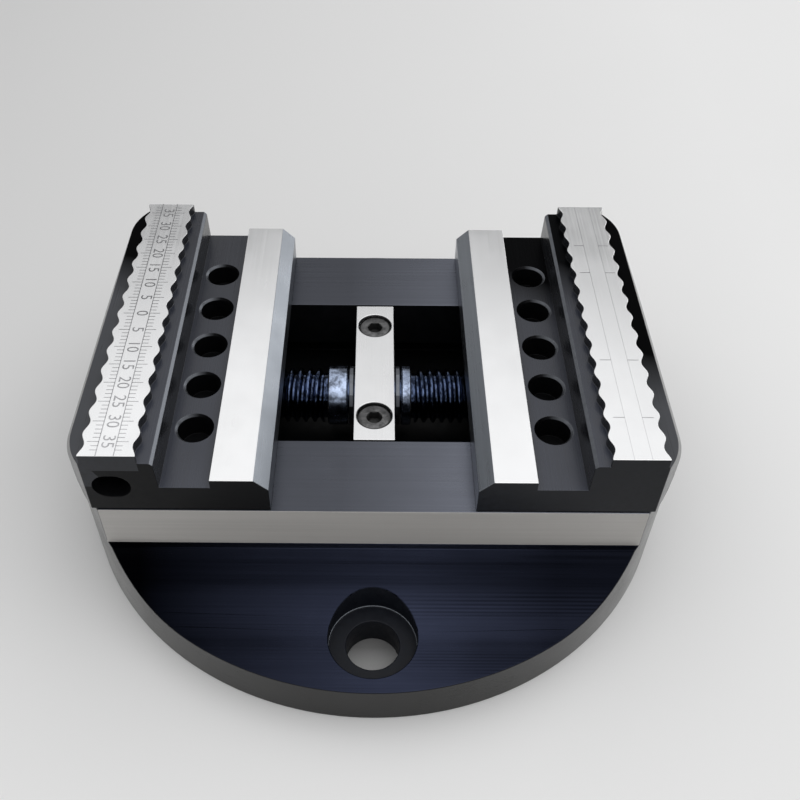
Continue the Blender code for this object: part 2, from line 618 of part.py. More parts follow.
def build_spindle(material):
    """Build the spindle with opposite threads, collars, neck and hexagon sockets."""
    bm = bmesh.new()
    neck_ends = {}
    for side, collar_length in ((-1, LEFT_COLLAR_LENGTH), (1, RIGHT_COLLAR_LENGTH)):
        collar_end = NECK_HALF_LENGTH + collar_length
        thread_start = collar_end + THREAD_RELIEF
        inner = [
            (NECK_HALF_LENGTH, NECK_RADIUS), (NECK_HALF_LENGTH, COLLAR_RADIUS - COLLAR_EDGE),
            (NECK_HALF_LENGTH + COLLAR_EDGE, COLLAR_RADIUS), (collar_end - COLLAR_EDGE, COLLAR_RADIUS),
            (collar_end, COLLAR_RADIUS - COLLAR_EDGE), (collar_end, JOURNAL_RADIUS),
            (thread_start, JOURNAL_RADIUS),
        ]
        outer = [
            (THREAD_END, JOURNAL_RADIUS), (SPINDLE_END - COLLAR_EDGE, JOURNAL_RADIUS),
            (SPINDLE_END, JOURNAL_RADIUS - COLLAR_EDGE),
        ]
        inner_rings = [ring_verts(bm, side * along, radius) for along, radius in inner]
        outer_rings = [ring_verts(bm, side * along, radius) for along, radius in outer]
        skin_rings(bm, inner_rings)
        skin_rings(bm, outer_rings)
        add_thread(bm, side, inner_rings[-1], thread_start, outer_rings[0], THREAD_END)
        bm.faces.new(outer_rings[-1])
        neck_ends[side] = inner_rings[0]
    skin_rings(bm, [neck_ends[-1], neck_ends[1]])
    bmesh.ops.triangulate(bm, faces=[face for face in bm.faces if 4 < len(face.verts) < SPINDLE_SEGMENTS])
    bmesh.ops.transform(bm, matrix=Matrix.Translation((0, 0, SPINDLE_HEIGHT)), verts=bm.verts)
    spindle = make_object("spindle", bm, material)
    for side, word in ((-1, "left"), (1, "right")):
        ends = sorted((side * (SPINDLE_END - DRIVE_DEPTH), side * (SPINDLE_END + OVERRUN)))
        socket = prism(hexagon(DRIVE_ACROSS_FLATS), ALONG_X, *ends)
        bmesh.ops.transform(socket, matrix=Matrix.Translation((0, 0, SPINDLE_HEIGHT)), verts=socket.verts)
        carve(spindle, f"{word}_drive_socket", socket)
    set_origin(spindle, Vector((0, 0, SPINDLE_HEIGHT)))
    smooth_round_faces(spindle)
    return spindle


def build_bearing(cap_material, saddle_material):
    """Build the split centre bearing: the bright cap on top and the saddle below it."""
    length = BEARING_HALF_LENGTH
    cap_bottom = SPINDLE_HEIGHT + GAP / 2
    saddle_bottom = SLOT_FLOOR + GAP
    saddle_top = SPINDLE_HEIGHT - GAP / 2
    narrow = BEARING_HALF_THICKNESS - BEARING_EDGE
    cap_outline = [
        (-BEARING_HALF_THICKNESS, cap_bottom), (BEARING_HALF_THICKNESS, cap_bottom),
        (BEARING_HALF_THICKNESS, BODY_TOP - BEARING_EDGE), (narrow, BODY_TOP),
        (-narrow, BODY_TOP), (-BEARING_HALF_THICKNESS, BODY_TOP - BEARING_EDGE),
    ]
    flat = [(u, -v) for u, v in cap_outline]
    cap = make_object("bearing_cap", prism(flat, ALONG_Y, -length, length), cap_material)
    flat = [(u, -v) for u, v in rectangle(BEARING_HALF_THICKNESS, saddle_bottom, saddle_top)]
    saddle = make_object("bearing_saddle", prism(flat, ALONG_Y, -length, length), saddle_material)
    reach = BEARING_HALF_THICKNESS + OVERRUN
    bore = stepped_pin([(BEARING_BORE_RADIUS, -reach), (BEARING_BORE_RADIUS, reach)])
    shank = BEARING_SCREW["shank"] + GAP
    head = BEARING_SCREW["head"] + GAP
    for part in (cap, saddle):
        centre = Vector((0, 0, SPINDLE_HEIGHT))
        carve(part, f"{part.name}_neck_cut", revolve(bore, ALONG_X, HOLE_SEGMENTS, centre))
        for side, word in ((-1, "front"), (1, "rear")):
            way = stepped_pin([
                (shank, saddle_bottom - OVERRUN), (shank, BEARING_SCREW_SEAT), (head, BEARING_SCREW_SEAT),
                (head, BODY_TOP + OVERRUN),
            ])
            centre = Vector((0, side * BEARING_SCREW_Y, 0))
            carve(part, f"{part.name}_{word}_screw_cut", revolve(way, ALONG_Z, HOLE_SEGMENTS, centre))
    for side, word in ((-1, "front"), (1, "rear")):
        screw = build_screw(f"bearing_screw_{word}", BEARING_SCREW, MATERIALS["screw"])
        place_screw(screw, Vector((0, side * BEARING_SCREW_Y, BEARING_SCREW_SEAT + GAP)), (0, 0, -1))
        radius = DOWEL_RADIUS + GAP
        way = stepped_pin([(radius, saddle_bottom - OVERRUN), (radius, DOWEL_TOP + HOLE_BOTTOM_ROOM)])
        centre = Vector((0, side * DOWEL_Y, 0))
        carve(saddle, f"saddle_{word}_dowel_cut", revolve(way, ALONG_Z, SCREW_SEGMENTS, centre))
        pin = stepped_pin([
            (DOWEL_RADIUS - SCREW_EDGE, DOWEL_BOTTOM), (DOWEL_RADIUS, DOWEL_BOTTOM + SCREW_EDGE),
            (DOWEL_RADIUS, DOWEL_TOP - SCREW_EDGE), (DOWEL_RADIUS - SCREW_EDGE, DOWEL_TOP),
        ])
        dowel = make_object(f"saddle_dowel_{word}", revolve(pin, ALONG_Z, SCREW_SEGMENTS), MATERIALS["screw"])
        dowel.location = centre
        smooth_round_faces(dowel)
    smooth_round_faces(cap)
    smooth_round_faces(saddle)


def build_washers(material):
    """Build the split thrust washers between the centre bearing and the spindle's collars."""
    start = BEARING_HALF_THICKNESS + GAP
    for side, word in ((-1, "left"), (1, "right")):
        for half, level in ((1, "upper"), (-1, "lower")):
            bm = half_ring(
                BEARING_BORE_RADIUS, WASHER_RADIUS, 0, WASHER_THICKNESS, WASHER_EDGE, SPINDLE_SEGMENTS,
            )
            upright = Matrix(((0, 0, side), (half, 0, 0), (0, half, 0)))
            bmesh.ops.transform(bm, matrix=upright.to_4x4(), verts=bm.verts)
            washer = make_object(f"thrust_washer_{word}_{level}", bm, material)
            washer.location = (side * start, 0, SPINDLE_HEIGHT)
            smooth_round_faces(washer)


MATERIALS = {}


def make_materials():
    """Fill the table of materials with the photo's colours."""
    MATERIALS["body"] = make_material("black_oxide_steel", (0.020, 0.022, 0.030), 0.42, 0.9)
    MATERIALS["jaw"] = make_material("charcoal_oxide_steel", (0.030, 0.032, 0.038), 0.45, 0.9)
    MATERIALS["bright"] = make_material("ground_steel", (0.72, 0.72, 0.70), 0.28, 1.0)
    MATERIALS["spindle"] = make_material("turned_steel", (0.55, 0.56, 0.58), 0.22, 1.0)
    MATERIALS["bronze"] = make_material("nut_bronze", (0.55, 0.38, 0.18), 0.35, 1.0)
    MATERIALS["screw"] = make_material("screw_steel", (0.07, 0.07, 0.07), 0.38, 1.0)


def main():
    """Build every piece of the vise."""
    clear_scene()
    make_materials()
    build_body(MATERIALS["body"])
    build_spindle(MATERIALS["spindle"])
    build_bearing(MATERIALS["bright"], MATERIALS["jaw"])
    build_washers(MATERIALS["bright"])
    for side, word in ((-1, "left"), (1, "right")):
        build_jaw(side, word, MATERIALS["jaw"])
        build_nut(side, word, MATERIALS["bronze"])


main()
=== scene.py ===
"""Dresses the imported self-centering vise with its finished pieces, a plain studio and a camera."""

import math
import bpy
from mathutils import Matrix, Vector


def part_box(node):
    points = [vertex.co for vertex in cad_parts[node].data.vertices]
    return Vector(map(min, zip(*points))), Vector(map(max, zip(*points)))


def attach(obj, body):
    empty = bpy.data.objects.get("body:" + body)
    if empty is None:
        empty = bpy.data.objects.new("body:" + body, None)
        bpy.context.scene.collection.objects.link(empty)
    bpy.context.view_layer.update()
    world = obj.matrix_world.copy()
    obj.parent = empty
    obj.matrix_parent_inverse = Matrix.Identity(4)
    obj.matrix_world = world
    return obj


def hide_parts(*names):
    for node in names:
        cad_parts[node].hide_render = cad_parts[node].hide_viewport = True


bl_info = {
    "name": "Self-centering vise",
    "version": (1, 0, 0),
    "blender": (4, 5, 0),
    "location": "3D View > Sidebar > Vise",
    "description": "Finished pieces, stage and camera for the packed self-centering vise",
    "category": "Object",
}

import bmesh
import bpy
from bpy.props import FloatProperty, FloatVectorProperty, PointerProperty
from mathutils import Matrix, Vector

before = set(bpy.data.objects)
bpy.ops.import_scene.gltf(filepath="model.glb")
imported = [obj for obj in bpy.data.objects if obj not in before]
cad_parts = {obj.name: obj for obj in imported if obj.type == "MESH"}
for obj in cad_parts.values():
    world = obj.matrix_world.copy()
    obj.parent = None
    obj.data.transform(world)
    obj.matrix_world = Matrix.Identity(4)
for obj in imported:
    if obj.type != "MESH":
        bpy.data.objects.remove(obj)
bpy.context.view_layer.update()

MM = 0.001
TURN = 2 * math.pi

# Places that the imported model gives
BODY_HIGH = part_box("vise_body")[1]
LEFT_LOW, LEFT_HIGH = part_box("left_jaw")
BODY_RADIUS = BODY_HIGH.y
BODY_TOP = BODY_HIGH.z
GRIP_TOP = LEFT_HIGH.z
JAW_OPENING = -LEFT_HIGH.x
JAW_FOOT_OUTER = -LEFT_LOW.x
JAW_HALF = LEFT_HIGH.y

GAP = 0.3 * MM
OVERRUN = 2.0 * MM

# Body
DISC_TOP = 10.1 * MM
BAND_HALF_WIDTH = 38.7 * MM
BAND_BOTTOM = BODY_TOP - 10.2 * MM
FLANK_LEDGE = 1.35 * MM
FILLET_RADIUS = 15.0 * MM
FILLET_STEPS = 20
END_FLAT = BODY_RADIUS - 6.0 * MM
SLOT_HALF_WIDTH = 20.9 * MM
SLOT_FLOOR = BODY_TOP - 19.0 * MM
LIP_UNDERSIDE = BODY_TOP - 12.0 * MM
UNDERCUT_HALF_WIDTH = SLOT_HALF_WIDTH + 5.1 * MM
BASE_WEB = 5.5 * MM
BOLT_Y = BODY_RADIUS - 11.8 * MM
BOLT_RADIUS = 5.25 * MM
BOLT_SEAT_RADIUS = 8.7 * MM
BOLT_SEAT = DISC_TOP - 3.3 * MM
LOCATING_RADIUS = 10.0 * MM
LOCATING_DEPTH = 4.0 * MM
PAINT_MARGIN = 1.0 * MM

# Jaws
JAW_BOTTOM = BODY_TOP + GAP
TRENCH_TOP = JAW_BOTTOM + 6.3 * MM
RIDGE_TOP = TRENCH_TOP + 2.1 * MM
LEDGE_TOP = TRENCH_TOP + 6.8 * MM
RIDGE_CHAMFER = 2.7 * MM
RIDGE_OUTER = JAW_OPENING + RIDGE_CHAMFER + 8.1 * MM
TRENCH_OUTER = RIDGE_OUTER + 9.4 * MM
LEDGE_INNER = TRENCH_OUTER + 0.2 * MM
LEDGE_CHAMFER = 0.6 * MM
GRIP_INNER = LEDGE_INNER + 2.7 * MM
GRIP_OUTER = GRIP_INNER + 10.5 * MM
LEDGE_OUTER = GRIP_OUTER + 3.0 * MM
JAW_CORNER_RADIUS = BODY_RADIUS + 0.7 * MM
TRENCH_HOLE_X = RIDGE_OUTER + 4.85 * MM
TRENCH_HOLE_SPACING = 11.8 * MM
TRENCH_HOLE_RADIUS = 3.3 * MM
TRENCH_HOLE_EDGE = 0.5 * MM
TRENCH_HOLE_FLOOR = JAW_BOTTOM + 1.1 * MM
SIDE_HOLE_X = GRIP_OUTER - 4.7 * MM
SIDE_HOLE_Z = JAW_BOTTOM + 6.5 * MM
SIDE_HOLE_LENGTH = 7.1 * MM
SIDE_HOLE_WIDTH = 5.9 * MM
SIDE_HOLE_DEPTH = 12.0 * MM
FOOT_INNER = JAW_OPENING + 14.8 * MM
FOOT_OUTER = FOOT_INNER + 18.4 * MM
CORNER_ROUND = 12.0 * MM
SPINDLE_CLEARANCE = 0.8 * MM
JAW_EDGE_BREAK = 0.12 * MM

# Spindle, bearing and nuts
AXIS_Z = BODY_TOP - 8.5 * MM
AXIS = Vector((0, 0, AXIS_Z))
THREAD_RADIUS = 6.0 * MM
ROOT_RADIUS = 5.0 * MM
NECK_RADIUS = 4.0 * MM
COLLAR_RADIUS = 6.55 * MM
COLLAR_LENGTHS = {-1: 4.35 * MM, 1: 2.15 * MM}
THREAD_RELIEF = 0.8 * MM
THREAD_END = END_FLAT - 3.5 * MM
SPINDLE_END = END_FLAT - 1.0 * MM
DRIVE_FLATS = 6.0 * MM
DRIVE_DEPTH = 7.0 * MM
JOURNAL_STEP = 0.04 * MM
SPINDLE_EDGE = 0.3 * MM
CREST_STEP = 0.06 * MM
THREAD_CREST_SHARE = 0.30
THREAD_SLOPE_SHARE = 0.26
THREAD_ROOT_SHARE = 0.09
THREAD_ROUND_SHARE = 0.04
BAR_HALF_THICKNESS = 4.25 * MM
BAR_HALF_LENGTH = SLOT_HALF_WIDTH - GAP
BAR_EDGE_BREAK = 0.2 * MM
BEARING_BORE = NECK_RADIUS + GAP
BEARING_SCREW_Y = 13.85 * MM
BEARING_SCREW_SEAT = BODY_TOP - 4.6 * MM
WASHER_THICKNESS = 1.0 * MM
NECK_HALF_LENGTH = BAR_HALF_THICKNESS + GAP + WASHER_THICKNESS + GAP
DOWEL_Y = 8.0 * MM
DOWEL_RADIUS = 1.5 * MM
DOWEL_HOLE_TOP = SLOT_FLOOR + 5.9 * MM
BARREL_RADIUS = THREAD_RADIUS + GAP + 1.7 * MM
BARREL_LENGTH = 14.0 * MM
NUT_BORE = THREAD_RADIUS + GAP
FLANGE_THICKNESS = 4.0 * MM
FLANGE_HALF_HEIGHT = JAW_BOTTOM - AXIS_Z - 0.4 * MM
NUT_SCREW_Y = BARREL_RADIUS + 4.4 * MM
FLANGE_HALF_WIDTH = NUT_SCREW_Y + 4.1 * MM
NUT_SEAT_DEPTH = 2.5 * MM
NUT_CORNER = 1.5 * MM
NUT_EDGE_BREAK = 0.15 * MM
SCREW_HOLE_SPARE = 1.0 * MM
SCREW_EDGE = 0.3 * MM
HEAD_FOOT_EDGE = 0.1 * MM
HEAD_SHOULDER = 0.09 * MM
SOCKET_MOUTH = 0.2 * MM
SOCKET_MOUTH_SHARE = 0.56
DRILL_POINT_RADIUS = 0.02 * MM
DRILL_POINT_DEPTH = 0.5 * MM
DRILL_POINT_SHARE = 0.47
SKIN = 0.01 * MM
BEARING_SCREW = dict(
    shank=2.0 * MM, head=3.45 * MM, height=3.7 * MM, flats=3.0 * MM, socket=2.0 * MM,
    length=BEARING_SCREW_SEAT + GAP - BASE_WEB - 1.0 * MM,
)
NUT_SCREW = dict(
    shank=2.0 * MM, head=3.5 * MM, height=2.2 * MM, flats=2.5 * MM, socket=1.4 * MM, length=11.0 * MM,
)

# Facets of round shapes
ROUND_STEPS = 192
HOLE_STEPS = 64
THREAD_STEPS = 48
SCALLOP_STEPS = 16
CORNER_STEPS = 8
STOCK_LEVELS = 6
DIGIT_STEPS = 4
EDGE_STEPS = 2
SMOOTH_ANGLE = 33
SPINDLE_SMOOTH_ANGLE = 40
FLAT_ANGLE = 0.05

# Distances within which points are welded
WELD = 0.001 * MM
CUT_WELD = 0.002 * MM
THREAD_WELD = 0.004 * MM
THREAD_CUT_WELD = 0.0005 * MM

# Engraved scale, across the strip from the jaws' middle outward and along it
SCALE_REACH = 35
SCALE_STEP = 5
MARK_WIDTH = 0.17 * MM
STRIP_MARKS = (23.7 * MM, 14.2 * MM, -12.9 * MM, -28.2 * MM)
LONG_MARK = 2.15 * MM
SHORT_MARK = 1.3 * MM
LINE_INNER = 46.35 * MM
LINE_OUTER = 49.6 * MM
DIGIT_HEIGHT = 2.35 * MM
DIGIT_HEIGHT_SHARE = 0.7
MARK_PROUD = 0.006 * MM

# Grain of the finishes, in waves per metre along each axis
BASE_GRAIN = (22, 2400, 2400)
RAIL_GRAIN = (12, 1500, 1500)
GROUND_GRAIN = (2600, 20, 2600)
JAW_GRAIN = (900, 60, 900)
TURNED_GRAIN = (40, 40, 2600)
SPINDLE_GRAIN = (1500, 600, 600)
NUT_GRAIN = (3000, 60, 60)
COLLAR_GRAIN = (450, 450, 450)
HEAD_GRAIN = (500, 500, 500)
HOLE_GRAIN = (600, 600, 600)
EVEN_GRAIN = (700, 700, 700)
FINE_GRAIN = (900, 900, 900)
CLOUD_GRAIN = (90, 90, 90)
FLOOR_GRAIN = (6, 6, 6)

# Ruled cutter lines on the base: their spacing, the patches where they show and their reach
RULE_SPACING = 0.65 * MM
RULE_GRAIN = (14, 200, 200)
RULE_REACH = ("X", -12, 22, 0.12, 1.0)
WAVE_PHASE = 20

# Colours of the finishes that no setting changes
RIM_COLOUR = (0.011, 0.011, 0.010)
MILLED_COLOUR = (0.032, 0.036, 0.050)
OUTER_LEDGE_COLOUR = (0.034, 0.037, 0.045)
# End faces of the jaws: the jaws' oxide painted darker and duller, painted shade
END_SHADE_COLOUR = (0.0098, 0.0112, 0.0148)
# Collars: the spindle's steel painted lighter, a painted highlight
COLLAR_HIGHLIGHT_COLOUR = (0.33, 0.39, 0.52)
SCREW_HEAD_COLOUR = (0.125, 0.125, 0.127)
WASHER_COLOUR = (0.17, 0.18, 0.20)
# Edges of the trench holes and the ledge: painted highlight on one side, painted shade on the other
HOLE_EDGE_COLOUR = (0.10, 0.11, 0.125)
HOLE_EDGE_PAINTED_SHADE = (0.006, 0.006, 0.007)
HOLE_EDGE_PAINTED_HIGHLIGHT = (0.16, 0.17, 0.19)
# Bolt holes: painted shade, darker than the base's oxide, and a painted highlight line
BOLT_WAY_SHADE_COLOUR = (0.005, 0.0065, 0.011)
BOLT_WAY_DARK = (0.0035, 0.0045, 0.0085)
BOLT_WAY_LIGHT = (0.0065, 0.0085, 0.0135)
BOLT_LINE_HIGHLIGHT_COLOUR = (0.36, 0.39, 0.44)

# Painted highlight line round the foot of a bolt hole's wall, in millimetres over the seat
BOLT_LINE_ENDS = (-0.1, 0.36)
BOLT_LINE_MIDDLE = (0.0, 0.26)

# Painted shade and light on the finishes: an axis, two places on it in millimetres, the shares of the colour
# there, a turn
# Round base: painted light, brighter still towards the front, and painted shade, near black at the left and
# darker at the right
BASE_PAINTED_SHADING = (("Y", -42, -60, 2.0, 2.3), ("X", -46, 2, 0.03, 1.0), ("X", 8, 36, 1.0, 0.36))
# Turned rim: painted shade at the front, painted reflection brighter away from it
RIM_PAINTED_SHADING = (("Y", -64, -30, 0.5, 1.6),)
# Milled jaw faces: painted shade, near black at the back, and painted light towards the front
MILLED_PAINTED_SHADING = (("Y", 25, 38, 1.0, 0.05, 30), ("Y", -45, 45, 1.25, 0.6))
# Outer ledges: painted shade, near black and without sheen towards the back
OUTER_LEDGE_PAINTED_SHADING = (("Y", -8, 6, 1.0, 0.03, 15.6),)
# End faces: painted light at the left, painted shade at the right
END_PAINTED_SHADING = (("X", -35, 55, 1.4, 0.68),)
# Rails: painted shade at the left, painted light at the right
RAIL_PAINTED_SHADING = (("X", -6, 22, 0.72, 1.5),)
# Engraved marks: painted light towards the front, painted shade towards the back
MARK_PAINTED_SHADING = (("Y", -42, 5, 2.0, 0.7),)

# Camera, as fitted to the engraved scale
CAMERA_PLACE = Vector((0.2, -148.6, 176.8)) * MM
CAMERA_TARGET = Vector((0.03, 0.0, 25.0)) * MM
CAMERA_ROLL = 0.35
CAMERA_SHIFT = (0.0316, -0.0171)
CAMERA_NEAR = 10.0 * MM
SENSOR_WIDTH = 36.0

# Lamps, floor and sky; each stop of the sky is a height and a brightness
KEY_LAMP = dict(size=0.8, place=(0.25, -0.1, 0.8), target=(0, 0, 0.03))
SIDE_LAMP = dict(size=0.8, place=(1.24, 1.10, 0.42), target=(0, 0, 0.04))
FLOOR_HALF_SIZE = 3.0
# Painted shade on the floor at the back left and a painted shadow under the vise
FLOOR_FADE_ACROSS = (-0.16, 0.12)
FLOOR_FADE_ALONG = (0.0, -0.09)
FLOOR_PAINTED_SHADE_SHARE = 0.74
FLOOR_CLOUD_SHARE = 0.8
FLOOR_PAINTED_SHADOW_SHARE = 0.22
SKY_STOPS = (
    (0.0, 0.32), (0.14, 0.34), (0.26, 0.72), (0.40, 0.68), (0.50, 0.26), (0.58, 0.28), (0.655, 0.90),
    (0.74, 1.05), (0.86, 1.0), (1.0, 0.66),
)

# Directions that shapes are built along
ALONG_X = Matrix(((0, 0, 1), (1, 0, 0), (0, 1, 0)))
ALONG_Y = Matrix(((1, 0, 0), (0, 0, 1), (0, -1, 0)))
ALONG_Z = Matrix.Identity(3)


class ViseSizes(bpy.types.PropertyGroup):
    """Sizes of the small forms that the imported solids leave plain."""

    edge_break: FloatProperty(
        name="Edge break", description="Width of the bevel on machined edges",
        default=0.25 * MM, min=0.0, unit="LENGTH", subtype="DISTANCE",
    )
    scallop_pitch: FloatProperty(
        name="Scallop pitch", description="Distance between the tips of the serrated ridges",
        default=5.5 * MM, min=0.001, unit="LENGTH", subtype="DISTANCE",
    )
    scallop_depth: FloatProperty(
        name="Scallop depth", description="Depth of the notches between the tips",
        default=0.8 * MM, min=0.0, unit="LENGTH", subtype="DISTANCE",
    )
    thread_pitch: FloatProperty(
        name="Thread pitch", description="Distance that one turn of the spindle moves a jaw",
        default=2.0 * MM, min=0.0005, unit="LENGTH", subtype="DISTANCE",
    )
    mark_depth: FloatProperty(
        name="Mark depth", description="Depth of the engraved scale on the left jaw",
        default=0.08 * MM, min=0.0, unit="LENGTH", subtype="DISTANCE",
    )


class ViseFinishes(bpy.types.PropertyGroup):
    """Colours of the vise's finishes."""

    body_colour: FloatVectorProperty(
        name="Body", description="Black oxide of the round base",
        default=(0.012, 0.0142, 0.0245), min=0.0, max=1.0, subtype="COLOR",
    )
    jaw_colour: FloatVectorProperty(
        name="Jaws", description="Charcoal oxide of the jaws",
        default=(0.014, 0.015, 0.018), min=0.0, max=1.0, subtype="COLOR",
    )
    ground_colour: FloatVectorProperty(
        name="Ground steel", description="Bright ground ridges, strips and bar",
        default=(0.92, 0.925, 0.935), min=0.0, max=1.0, subtype="COLOR",
    )
    rail_colour: FloatVectorProperty(
        name="Rails", description="Worn ground top of the body",
        default=(0.105, 0.112, 0.135), min=0.0, max=1.0, subtype="COLOR",
    )
    band_colour: FloatVectorProperty(
        name="Bands", description="Ground front and rear bands of the body",
        default=(0.42, 0.408, 0.392), min=0.0, max=1.0, subtype="COLOR",
    )
    spindle_colour: FloatVectorProperty(
        name="Spindle", description="Oiled steel of the spindle",
        default=(0.060, 0.082, 0.145), min=0.0, max=1.0, subtype="COLOR",
    )
    flank_colour: FloatVectorProperty(
        name="Jaw walls", description="Satin steel of the jaws' inner walls",
        default=(0.27, 0.29, 0.32), min=0.0, max=1.0, subtype="COLOR",
    )
    bronze_colour: FloatVectorProperty(
        name="Nuts", description="Bronze of the spindle nuts",
        default=(0.60, 0.38, 0.16), min=0.0, max=1.0, subtype="COLOR",
    )
    mark_colour: FloatVectorProperty(
        name="Marks", description="Engraved lines and numbers",
        default=(0.26, 0.26, 0.27), min=0.0, max=1.0, subtype="COLOR",
    )
    screw_colour: FloatVectorProperty(
        name="Screws", description="Dark steel of the socket head screws",
        default=(0.045, 0.045, 0.045), min=0.0, max=1.0, subtype="COLOR",
    )


class ViseStage(bpy.types.PropertyGroup):
    """Floor, lamps and camera."""

    floor_colour: FloatVectorProperty(
        name="Floor", description="Pale floor", default=(0.88, 0.88, 0.88), min=0.0, max=1.0, subtype="COLOR",
    )
    key_power: FloatProperty(
        name="Key lamp", description="Power of the large soft lamp", default=1.3, min=0.0, unit="POWER",
    )
    side_power: FloatProperty(
        name="Side lamp", description="Power of the soft lamp at the right", default=3.2, min=0.0,
        unit="POWER",
    )
    lens: FloatProperty(
        name="Lens", description="Focal length of the camera in millimetres", default=43.19, min=1.0,
    )


def set_inputs(node, values):
    """Set sockets of a node by name or number."""
    for key, value in values.items():
        node.inputs[key].default_value = value


class Recipe:
    """One procedural material: a Principled shader and the nodes that feed it."""

    def __init__(self, name, colour, roughness, metallic):
        self.material = bpy.data.materials.new(name)
        self.material.use_nodes = True
        self.tree = self.material.node_tree
        self.shader = self.tree.nodes["Principled BSDF"]
        set_inputs(self.shader, {
            "Base Color": (*colour, 1.0), "Roughness": roughness, "Metallic": metallic,
        })
        self.material.diffuse_color = (*colour, 1.0)
        self.place = self.tree.nodes.new("ShaderNodeTexCoord").outputs["Object"]

    def node(self, kind, links=None, **values):
        """Add a node, link its inputs and set its properties."""
        made = self.tree.nodes.new(kind)
        for key, value in values.items():
            setattr(made, key, value)
        for key, source in (links or {}).items():
            self.tree.links.new(source, made.inputs[key])
        return made

    def mapped(self, scale, turn=(0, 0, 0)):
        """Return Object coordinates that are stretched and turned."""
        mapping = self.node("ShaderNodeMapping", {"Vector": self.place})
        set_inputs(mapping, {"Scale": scale, "Rotation": turn})
        return mapping.outputs["Vector"]

    def noise(self, grain, detail=4.0, rough=0.55):
        """Return a noise value; grain is its frequency per metre along each axis."""
        noise = self.node("ShaderNodeTexNoise", {"Vector": self.mapped(grain)})
        set_inputs(noise, {"Scale": 1.0, "Detail": detail, "Roughness": rough})
        return noise.outputs["Fac"]

    def ramp(self, value, low, high, start=0.0, end=1.0):
        """Return a value mapped from low..high to start..end."""
        ranged = self.node("ShaderNodeMapRange", {"Value": value})
        set_inputs(ranged, {"From Min": low, "From Max": high, "To Min": start, "To Max": end})
        return ranged.outputs["Result"]

    def maths(self, operation, first, second):
        """Return a sum, product or other function of two values."""
        made = self.node("ShaderNodeMath", operation=operation)
        for index, value in enumerate((first, second)):
            if isinstance(value, (int, float)):
                made.inputs[index].default_value = value
            else:
                self.tree.links.new(value, made.inputs[index])
        return made.outputs[0]

    def blend(self, share, first, second):
        """Return the mix of two colours, each a colour or an output."""
        mixed = self.node("ShaderNodeMix", {"Factor": share}, data_type="RGBA")
        for key, value in ((6, first), (7, second)):
            if isinstance(value, tuple):
                mixed.inputs[key].default_value = (*value, 1.0)
            else:
                self.tree.links.new(value, mixed.inputs[key])
        return mixed.outputs[2]

    def dim(self, colour, value):
        """Return a colour multiplied by a value."""
        links = {"Vector": colour, "Scale": value}
        return self.node("ShaderNodeVectorMath", links, operation="SCALE").outputs["Vector"]

    def along(self, axis, start, end, low, high, turn=0):
        """Return a value that goes from low to high between two places on an axis turned about Z."""
        place = self.mapped((1, 1, 1), (0, 0, math.radians(turn)))
        split = self.node("ShaderNodeSeparateXYZ", {"Vector": place})
        return self.ramp(split.outputs[axis], start * MM, end * MM, low, high)

    def colour(self, output):
        """Feed the shader's colour."""
        self.tree.links.new(output, self.shader.inputs["Base Color"])

    def roughness(self, output):
        """Feed the shader's roughness."""
        self.tree.links.new(output, self.shader.inputs["Roughness"])

    def bump(self, height, distance):
        """Raise the surface by a height value."""
        bump = self.node("ShaderNodeBump", {"Height": height})
        set_inputs(bump, {"Distance": distance, "Strength": 1.0})
        self.tree.links.new(bump.outputs["Normal"], self.shader.inputs["Normal"])


def scaled(colour, factor):
    """Return a colour made lighter or darker."""
    return tuple(min(1.0, part * factor) for part in colour)


def machined(
    name, colour, roughness, metallic, grain, contrast=0.35, bump=0.004 * MM, painted_shading=(), specular=0.5,
    ruled=0.0, sharp=0.2,
):
    """Return a machined finish with cutter lines.

    grain is the noise's frequency per metre on each axis; each entry of painted_shading is painted
    light and shade, an axis, two places on it in millimetres and the shares of the colour there;
    ruled is the depth of fine dark lines along X on the right; sharp is half the span of noise that
    goes from dark to light.
    """
    recipe = Recipe(name, colour, roughness, metallic)
    recipe.shader.inputs["Specular IOR Level"].default_value = specular
    lines = recipe.noise(grain, detail=3.0, rough=0.7)
    cloud = recipe.noise(CLOUD_GRAIN, detail=5.0)
    light = scaled(colour, 1 + contrast)
    dark = scaled(colour, 1 - contrast)
    shade = recipe.blend(recipe.ramp(lines, 0.5 - sharp, 0.5 + sharp), dark, light)
    shade = recipe.blend(recipe.ramp(cloud, 0.35, 0.75, 0, 0.5), shade, scaled(colour, 1 - contrast * 0.6))
    if ruled:
        rules = recipe.node("ShaderNodeTexWave", {"Vector": recipe.place}, bands_direction="Y")
        set_inputs(rules, {
            "Scale": TURN / (WAVE_PHASE * RULE_SPACING), "Distortion": 0.6, "Detail": 2.0,
            "Detail Scale": 0.05,
        })
        patches = recipe.ramp(recipe.noise(RULE_GRAIN, detail=3.0), 0.40, 0.60)
        reach = recipe.maths("MULTIPLY", recipe.along(*RULE_REACH), patches)
        depth = recipe.maths("MULTIPLY", recipe.maths("MULTIPLY", rules.outputs["Fac"], ruled), reach)
        shade = recipe.dim(shade, recipe.maths("SUBTRACT", 1.0, depth))
    # Painted shade and light: each ramp scales the colour by place
    for shading_ramp in painted_shading:
        shade = recipe.dim(shade, recipe.along(*shading_ramp))
    recipe.colour(shade)
    # The first ramp also scales a non-metal's specular level: a painted sheen
    if painted_shading and not metallic:
        strength = recipe.maths("MULTIPLY", recipe.along(*painted_shading[0]), specular)
        recipe.tree.links.new(strength, recipe.shader.inputs["Specular IOR Level"])
    spread = recipe.ramp(lines, 0.25, 0.75, roughness * 0.8, roughness * 1.2)
    patch = recipe.ramp(cloud, 0.3, 0.7, -0.04, 0.06)
    recipe.roughness(recipe.maths("ADD", spread, patch))
    recipe.bump(lines, bump)
    return recipe.material


